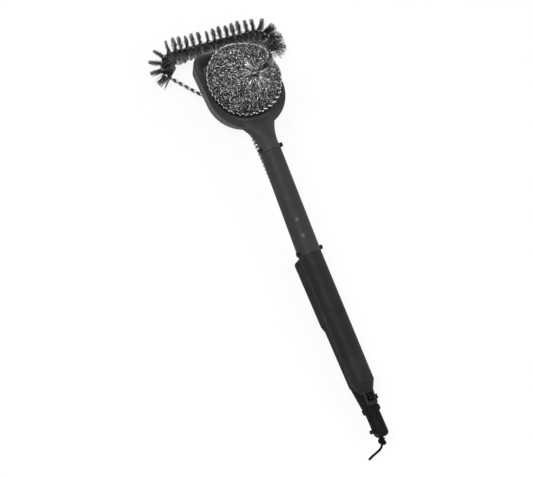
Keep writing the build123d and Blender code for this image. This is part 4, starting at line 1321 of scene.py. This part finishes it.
    def grooves(self, directions: Array, reach: Array) -> tuple[Array, Array]:
        """Depths of the folds and of the hole at the gather.

        A fold bends from its ray by a sine of three times the angle from the gather, and the
        number of its bearing is the sine's phase.

        Args:
            directions: Unit directions from the centre, of shape (..., 3).
            reach: The ellipsoid's radius in each direction.

        Returns:
            The depth of the folds together, and of the hole.
        """
        pole, right, ahead = self.axes(self.gather)
        polar = np.arccos(np.clip(directions @ pole, -1, 1))
        azimuth = np.arctan2(directions @ ahead, directions @ right)
        groove = np.zeros_like(polar)
        for bearing, depth, width, end in self.folds:
            bend = self.fold_sway * np.sin(3 * polar + bearing)
            turn = np.angle(np.exp(1j * (azimuth + bend - math.radians(bearing))))
            aside = turn * np.sin(polar) * reach / (width * MM)
            fade = np.clip(1 - polar / math.radians(end), 0, 1)
            groove += depth * MM * fade**self.fold_fade * np.exp(-(aside**2))
        return groove, self.pit * np.exp(-((polar / self.pit_width) ** 2))

    def swell(self, directions: Array) -> Array:
        """Height of the broad swellings, each e to the minus square of the distance over its width.

        Args:
            directions: Unit directions from the centre, of shape (..., 3).

        Returns:
            The height in each direction.
        """
        height = np.zeros(directions.shape[:-1])
        for towards, rise, width in self.swellings:
            away = np.linalg.norm(directions - unit(np.array(towards)), axis=-1)
            height += rise * MM * np.exp(-((away / width) ** 2))
        return height

    def surface(self, directions: Array, lift: Array | float) -> tuple[Array, Array]:
        """Points of the folded ball.

        A point's distance from the centre is the ellipsoid's radius less the folds and the hole,
        plus the lumps, which are products and sums of sines, the swellings and the lift.

        Args:
            directions: Unit directions from the centre, of shape (..., 3).
            lift: Height above the surface.

        Returns:
            The points and, from 0 to 1, how deep in a fold each one lies.
        """
        reach = 1 / np.linalg.norm(directions / self.radii, axis=-1)
        groove, pit = self.grooves(directions, reach)
        x, y, z = (directions[..., i] for i in range(3))
        lumps = self.lumps * (
            np.sin(5 * x + 3 * y + 1.3) * np.sin(4 * z - 2 * y)
            + 0.7 * np.sin(9 * x * z + 7 * y) - 0.6
        )
        depth = np.minimum(groove, self.deepest) + pit
        height = reach - depth + lumps + self.swell(directions) + lift
        return self.centre + directions * height[..., None], np.clip(depth / self.deepest, 0, 1)

    def beside_hem(self, directions: Array) -> Array:
        """Brightness of the ribbons, from the shade beside the hem to one away from it.

        Args:
            directions: Unit directions from the centre.

        Returns:
            One less the shade times e to the minus fourth power of the angle over the band.
        """
        pole = self.axes(self.hem_pole)[0]
        angle = np.degrees(np.arccos(np.clip(directions @ pole, -1, 1)))
        away = (angle - np.mean(self.hem_angles)) / self.hem_band
        return 1 - self.hem_shade * np.exp(-(away**4))

    def course(
        self, layer: Layer, polar: float, rng: np.random.Generator
    ) -> tuple[Strands, Array]:
        """One closed row of loops.

        Along it the ribbon moves on by t less a share of sin 4 pi t of a stitch, up and down by
        cos 2 pi t of the loop's height, and in and out by cos 4 pi t.

        Args:
            layer: The layer.
            polar: The row's angle from the layer's pole, in radians.
            rng: For the unevenness.

        Returns:
            The row, and the brightness of each of its points.
        """
        mean = float(self.radii.mean())
        stitches = max(self.fewest, round(2 * np.pi * mean * math.sin(polar) / layer.stitch))
        t = np.arange(stitches * self.samples) / self.samples
        wave = 2 * np.pi * t / stitches * rng.integers(2, 6) + rng.uniform(0, 6)
        loose = 1 + self.looseness * np.repeat(rng.normal(0, 1, stitches), self.samples)
        azimuth = 2 * np.pi * (t - self.overlap * np.sin(4 * np.pi * t)) / stitches
        rise = self.loop_height * np.cos(2 * np.pi * t) * loose + self.wander * np.sin(wave)
        directions = self.directions(layer.pole, polar + rise * layer.course / mean, azimuth)
        bob = layer.lift + self.bob * np.cos(4 * np.pi * t) * np.clip(loose, 0.2, 1.4)
        points, depth = self.surface(directions, bob)
        roll = np.repeat(rng.normal(0, 1, stitches), self.samples)
        rods = Strands.along(
            points[None], directions[None], self.ribbon, closed=True, thickness=self.foil
        )
        # Painted glints on the loops' legs, darkened by painted shade at the bottom of the folds
        # and beside the hem.
        legs = np.repeat(rng.beta(0.75, layer.light, 2 * stitches), self.samples // 2)
        glint = legs * (1 - self.fold_shade * depth) * self.beside_hem(directions)
        return rods.rolled(roll[None]), glint

    def courses(self, layer: Layer, finish: bpy.types.Material) -> bpy.types.Object:
        """Knits one layer of courses round its pole.

        Args:
            layer: The layer.
            finish: Its material.

        Returns:
            The piece.
        """
        rng = np.random.default_rng(layer.seed)
        first, last = math.radians(layer.first), math.radians(layer.last)
        vertices, faces, shades, base = [], [], [], 0
        for polar in np.arange(first, last, layer.course / float(self.radii.mean())):
            rods, glint = self.course(layer, polar, rng)
            vertices.append(rods.vertices().reshape(-1, 3))
            faces.append(rods.faces()[0] + base)
            shades.append(np.repeat(glint, rods.sides))
            base += len(vertices[-1])
        piece = add_mesh(
            layer.name, np.concatenate(vertices), [np.concatenate(faces)], False,
            shade=np.concatenate(shades),
        )
        return finish_piece(piece, finish, Body.SCRUBBER)

    def hem(self, finish: bpy.types.Material) -> bpy.types.Object:
        """Rows of wide slanting stitches round the ball, where the knitted tube's edge was sewn.

        A stitch is an arc of its own: it slants across the ring and bulges by cos pi t.

        Args:
            finish: Its material.

        Returns:
            The piece.
        """
        mean = float(self.radii[:2].mean())
        count = round(2 * np.pi * mean / self.hem_pitch)
        rng = np.random.default_rng(self.hem_seed)
        across, along = self.hem_astray
        t = np.linspace(-0.5, 0.5, self.hem_points)
        ring = np.repeat(np.radians(self.hem_angles), count)[:, None]
        number = np.arange(len(ring))[:, None] + 0.5 * (ring > ring.min())
        length = self.hem_stitch * rng.uniform(*self.hem_lengths, len(ring))[:, None] / mean
        polar = ring + self.hem_slant * t * length + rng.normal(0, across, len(ring))[:, None]
        azimuth = 2 * np.pi * number / count + t * length
        azimuth = azimuth + rng.normal(0, along, len(ring))[:, None]
        directions = self.directions(self.hem_pole, polar, azimuth)
        arch = np.cos(np.pi * t)
        points, _ = self.surface(directions, (self.hem_foot + self.hem_bulge * arch) * MM)
        outward = directions + self.hem_turn * self.axes(self.hem_pole)[0]
        width = self.hem_ribbon * (self.hem_tips + (1 - self.hem_tips) * arch)
        rods = Strands.along(points, outward, width, 4, thickness=2 * self.foil)
        # Painted highlight, brightest in the middle of each stitch.
        glint = rng.uniform(0.65, 1.0, len(ring))[:, None] * np.cos(np.pi * t * 0.8)
        piece = rods.make("pad_hem", glint, self.hem_stitch, False)
        return finish_piece(piece, finish, Body.SCRUBBER)

    def strands(
        self, name: str, start: Array, run: Array, bearing: Array, bend: Array, glint: Array,
        lift: float, finish: bpy.types.Material,
    ) -> bpy.types.Object:
        """Single ribbons on the surface, each an arc that starts at its own angle from the gather.

        Along it the angle from the gather grows by the run times the bend's cosine, and the azimuth
        by its sine over the sine of that angle, plus the curl times the square of the share. The
        ribbon rises off the surface by sin pi t of the lift.

        Args:
            name: The piece's name.
            start: Angle of each start from the gather, in radians.
            run: Length of each ribbon, in radians.
            bearing: Azimuth of each start.
            bend: Angle between each ribbon and the ray from the gather.
            glint: Brightness of each ribbon.
            lift: Height above the surface.
            finish: Its material.

        Returns:
            The piece.
        """
        steps = np.linspace(0, 1, self.strand_points)
        polar = start[:, None] + run[:, None] * steps * np.cos(bend)[:, None]
        azimuth = bearing[:, None] + run[:, None] * steps * np.sin(bend)[:, None] / np.sin(polar)
        azimuth = azimuth + self.strand_curl * run[:, None] * steps**2
        directions = self.directions(self.gather, polar, azimuth)
        points, depth = self.surface(directions, lift * np.sin(np.pi * steps)[None])
        rods = Strands.along(points, directions, self.ribbon, thickness=self.foil)
        # Painted glints, darkened by painted shade at the bottom of the folds and beside the hem.
        shade = glint[:, None] * (1 - self.strand_shade * depth) * self.beside_hem(directions)
        piece = rods.make(name, shade, self.strand_length, False)
        return finish_piece(piece, finish, Body.SCRUBBER)

    def stray(self, finish: bpy.types.Material) -> bpy.types.Object:
        """Loose ends and pulled loops that cross the courses all over the ball.

        Args:
            finish: Their material.

        Returns:
            The piece.
        """
        rng = np.random.default_rng(self.stray_seed)
        count = self.stray_count
        start = np.arccos(rng.uniform(*self.stray_heights, count))
        run = rng.uniform(*self.stray_runs, count) * MM / self.radii.mean()
        bearing = rng.uniform(0, 2 * np.pi, count)
        bend = rng.uniform(0, 2 * np.pi, count)
        glint = rng.beta(*self.stray_glint, count)
        return self.strands(
            "pad_stray_loops", start, run, bearing, bend, glint, self.stray_lift, finish
        )

    def gathered(self, finish: bpy.types.Material) -> bpy.types.Object:
        """Ribbons pulled straight from the gather, in bundles beside the folds.

        Args:
            finish: Their material.

        Returns:
            The piece.
        """
        rng = np.random.default_rng(self.gathered_seed)
        count = self.gathered_count
        bundles = np.radians([fold[0] for fold in self.folds])
        chosen = bundles[rng.integers(0, len(self.folds), count)]
        start = np.radians(rng.uniform(*self.gathered_starts, count))
        run = np.radians(rng.uniform(*self.gathered_runs, count))
        bearing = chosen + rng.normal(0, self.bundle_width, count)
        bend = rng.normal(0, self.bundle_bend, count)
        glint = rng.beta(*self.gathered_glint, count)
        return self.strands(
            "pad_gathered_strands", start, run, bearing, bend, glint, self.gathered_lift, finish
        )

    def heart(self, finish: bpy.types.Material) -> bpy.types.Object:
        """Inner ball under the knitted layers, near black as painted shade and darkest at the
        bottom of the folds: the same folded surface on a grid.

        Args:
            finish: Its material.

        Returns:
            The piece.
        """
        columns = self.heart_columns
        rings, meridians = np.meshgrid(
            np.linspace(0, np.pi, self.heart_rows)[1:-1],
            np.linspace(0, 2 * np.pi, columns, endpoint=False), indexing="ij",
        )
        pole = self.axes(self.gather)[0]
        grid = self.directions(self.gather, rings, meridians)
        points, depth = self.surface(grid, -self.heart_depth)
        ends, end_depth = self.surface(np.stack([pole, -pole]), -self.heart_depth)
        number = np.arange(points.shape[0] * columns).reshape(-1, columns)
        ahead = np.roll(number, -1, axis=1)
        quads = np.stack([number[:-1], number[1:], ahead[1:], ahead[:-1]], axis=-1).reshape(-1, 4)
        top = np.full(columns, number.size)
        cap = np.stack([top, number[0], ahead[0]], axis=-1)
        foot = np.stack([top + 1, ahead[-1], number[-1]], axis=-1)
        # Its shade value paints it darker at the bottom of the folds.
        piece = add_mesh(
            "pad_heart", np.concatenate([points.reshape(-1, 3), ends]), [quads, cap, foot],
            shade=1 - np.concatenate([depth.reshape(-1), end_depth]),
        )
        return finish_piece(piece, finish, Body.SCRUBBER, ["scouring_pad"])

    def build(self) -> list[bpy.types.Object]:
        """Makes the heart, painted dark as shade, the knitted layers, the hem and the single
        ribbons.

        Returns:
            The eight pieces.
        """
        bright = self.bright.material()
        return [
            self.heart(self.heart_shade.material()),
            *(self.courses(layer, bright) for layer in self.layers),
            self.hem(bright),
            self.stray(bright),
            self.gathered(bright),
        ]


# ---------------------------------------------------------------------------------------------
# Moulded and turned pieces that keep their own shape
# ---------------------------------------------------------------------------------------------


@dataclass
class CarriedPieces:
    """Finishes of the pieces whose shape is already right."""

    # The third colour of each moulded finish is its paler edge, partly wear and partly a painted
    # highlight.
    charcoal: MouldedFinish = MouldedFinish(
        "charcoal_plastic", (0.017, 0.0175, 0.018), (0.025, 0.0255, 0.0265), (0.12, 0.12, 0.125),
        0.56, sheen=0.24,
    )
    # Paler than the tube: a painted highlight on the rivet heads.
    rivet: MouldedFinish = MouldedFinish(
        "rivet_plastic", (0.045, 0.0455, 0.047), (0.055, 0.0555, 0.057), (0.12, 0.12, 0.125),
        0.5, sheen=0.35,
    )
    # The scoop's hollow light is painted light on the inner walls of the cup.
    scoop: MouldedFinish = MouldedFinish(
        "scoop_plastic", (0.024, 0.0245, 0.025), (0.033, 0.0335, 0.0345), (0.17, 0.17, 0.175),
        0.56, sheen=0.24, hollow_light=(0.2, 0.202, 0.212), hollow=(0.0, 0.16, 0.03),
    )
    grip: MouldedFinish = MouldedFinish(
        "grip_plastic", (0.0075, 0.0077, 0.0085), (0.014, 0.0143, 0.015), (0.065, 0.066, 0.069),
        0.55, worn_and_lit_reach=0.7 * MM, sheen=0.16,
    )
    handle: MouldedFinish = MouldedFinish(
        "handle_plastic", (0.0045, 0.0046, 0.005), (0.008, 0.0082, 0.0088), (0.04, 0.041, 0.043),
        0.55, sheen=0.07,
    )
    trim: MouldedFinish = MouldedFinish(
        "trim_plastic", (0.004, 0.004, 0.0043), (0.01, 0.01, 0.0105), (0.05, 0.05, 0.052),
        0.45, sheen=0.12,
    )
    post: MouldedFinish = MouldedFinish(
        "post_plastic", (0.15, 0.15, 0.15), (0.2, 0.2, 0.2), (0.3, 0.3, 0.3), 0.6
    )
    steel: SteelFinish = SteelFinish("fastener_steel", (0.55, 0.55, 0.54), (0.3, 0.3, 0.29), 0.3)

    def build(self) -> None:
        """Puts one finish on each carried node."""
        finishes = {
            self.charcoal: ("tube_shell",),
            self.rivet: ("clip_rivets",),
            self.scoop: ("scrubber_cup",),
            self.grip: ("grip_shell",),
            self.handle: ("rear_handle_shell", "rear_handle_cover", "tail_collar", "tail_cap"),
            self.trim: ("release_slider", "hang_pin", "grip_plug", "neck_plug"),
            self.post: ("pad_post",),
            self.steel: (
                "handle_screws", "stem_pin", "stem_ferrule", "slider_spring", "set_screws",
                "stem_clip", "post_screw", "pad_washer", "pad_screw",
            ),
        }
        for finish, nodes in finishes.items():
            material = finish.material()
            for node in nodes:
                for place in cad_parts[node].material_slots:
                    place.material = material
            log.info("%s on %s", finish.name, ", ".join(nodes))


def main() -> None:
    """Builds the studio, the cord, the brush and the scrubber, and logs each piece's faces."""
    logging.basicConfig(level=logging.INFO, format="%(name)s: %(message)s")
    Studio().build()
    line = LoopLine()
    for maker in (HangCord(), TwistedWires(line), Bristles(line), ScouringPad()):
        for piece in maker.build():
            log.info("%s with %d faces", piece.name, len(piece.data.polygons))
    CarriedPieces().build()


if __name__ == "__main__":
    main()
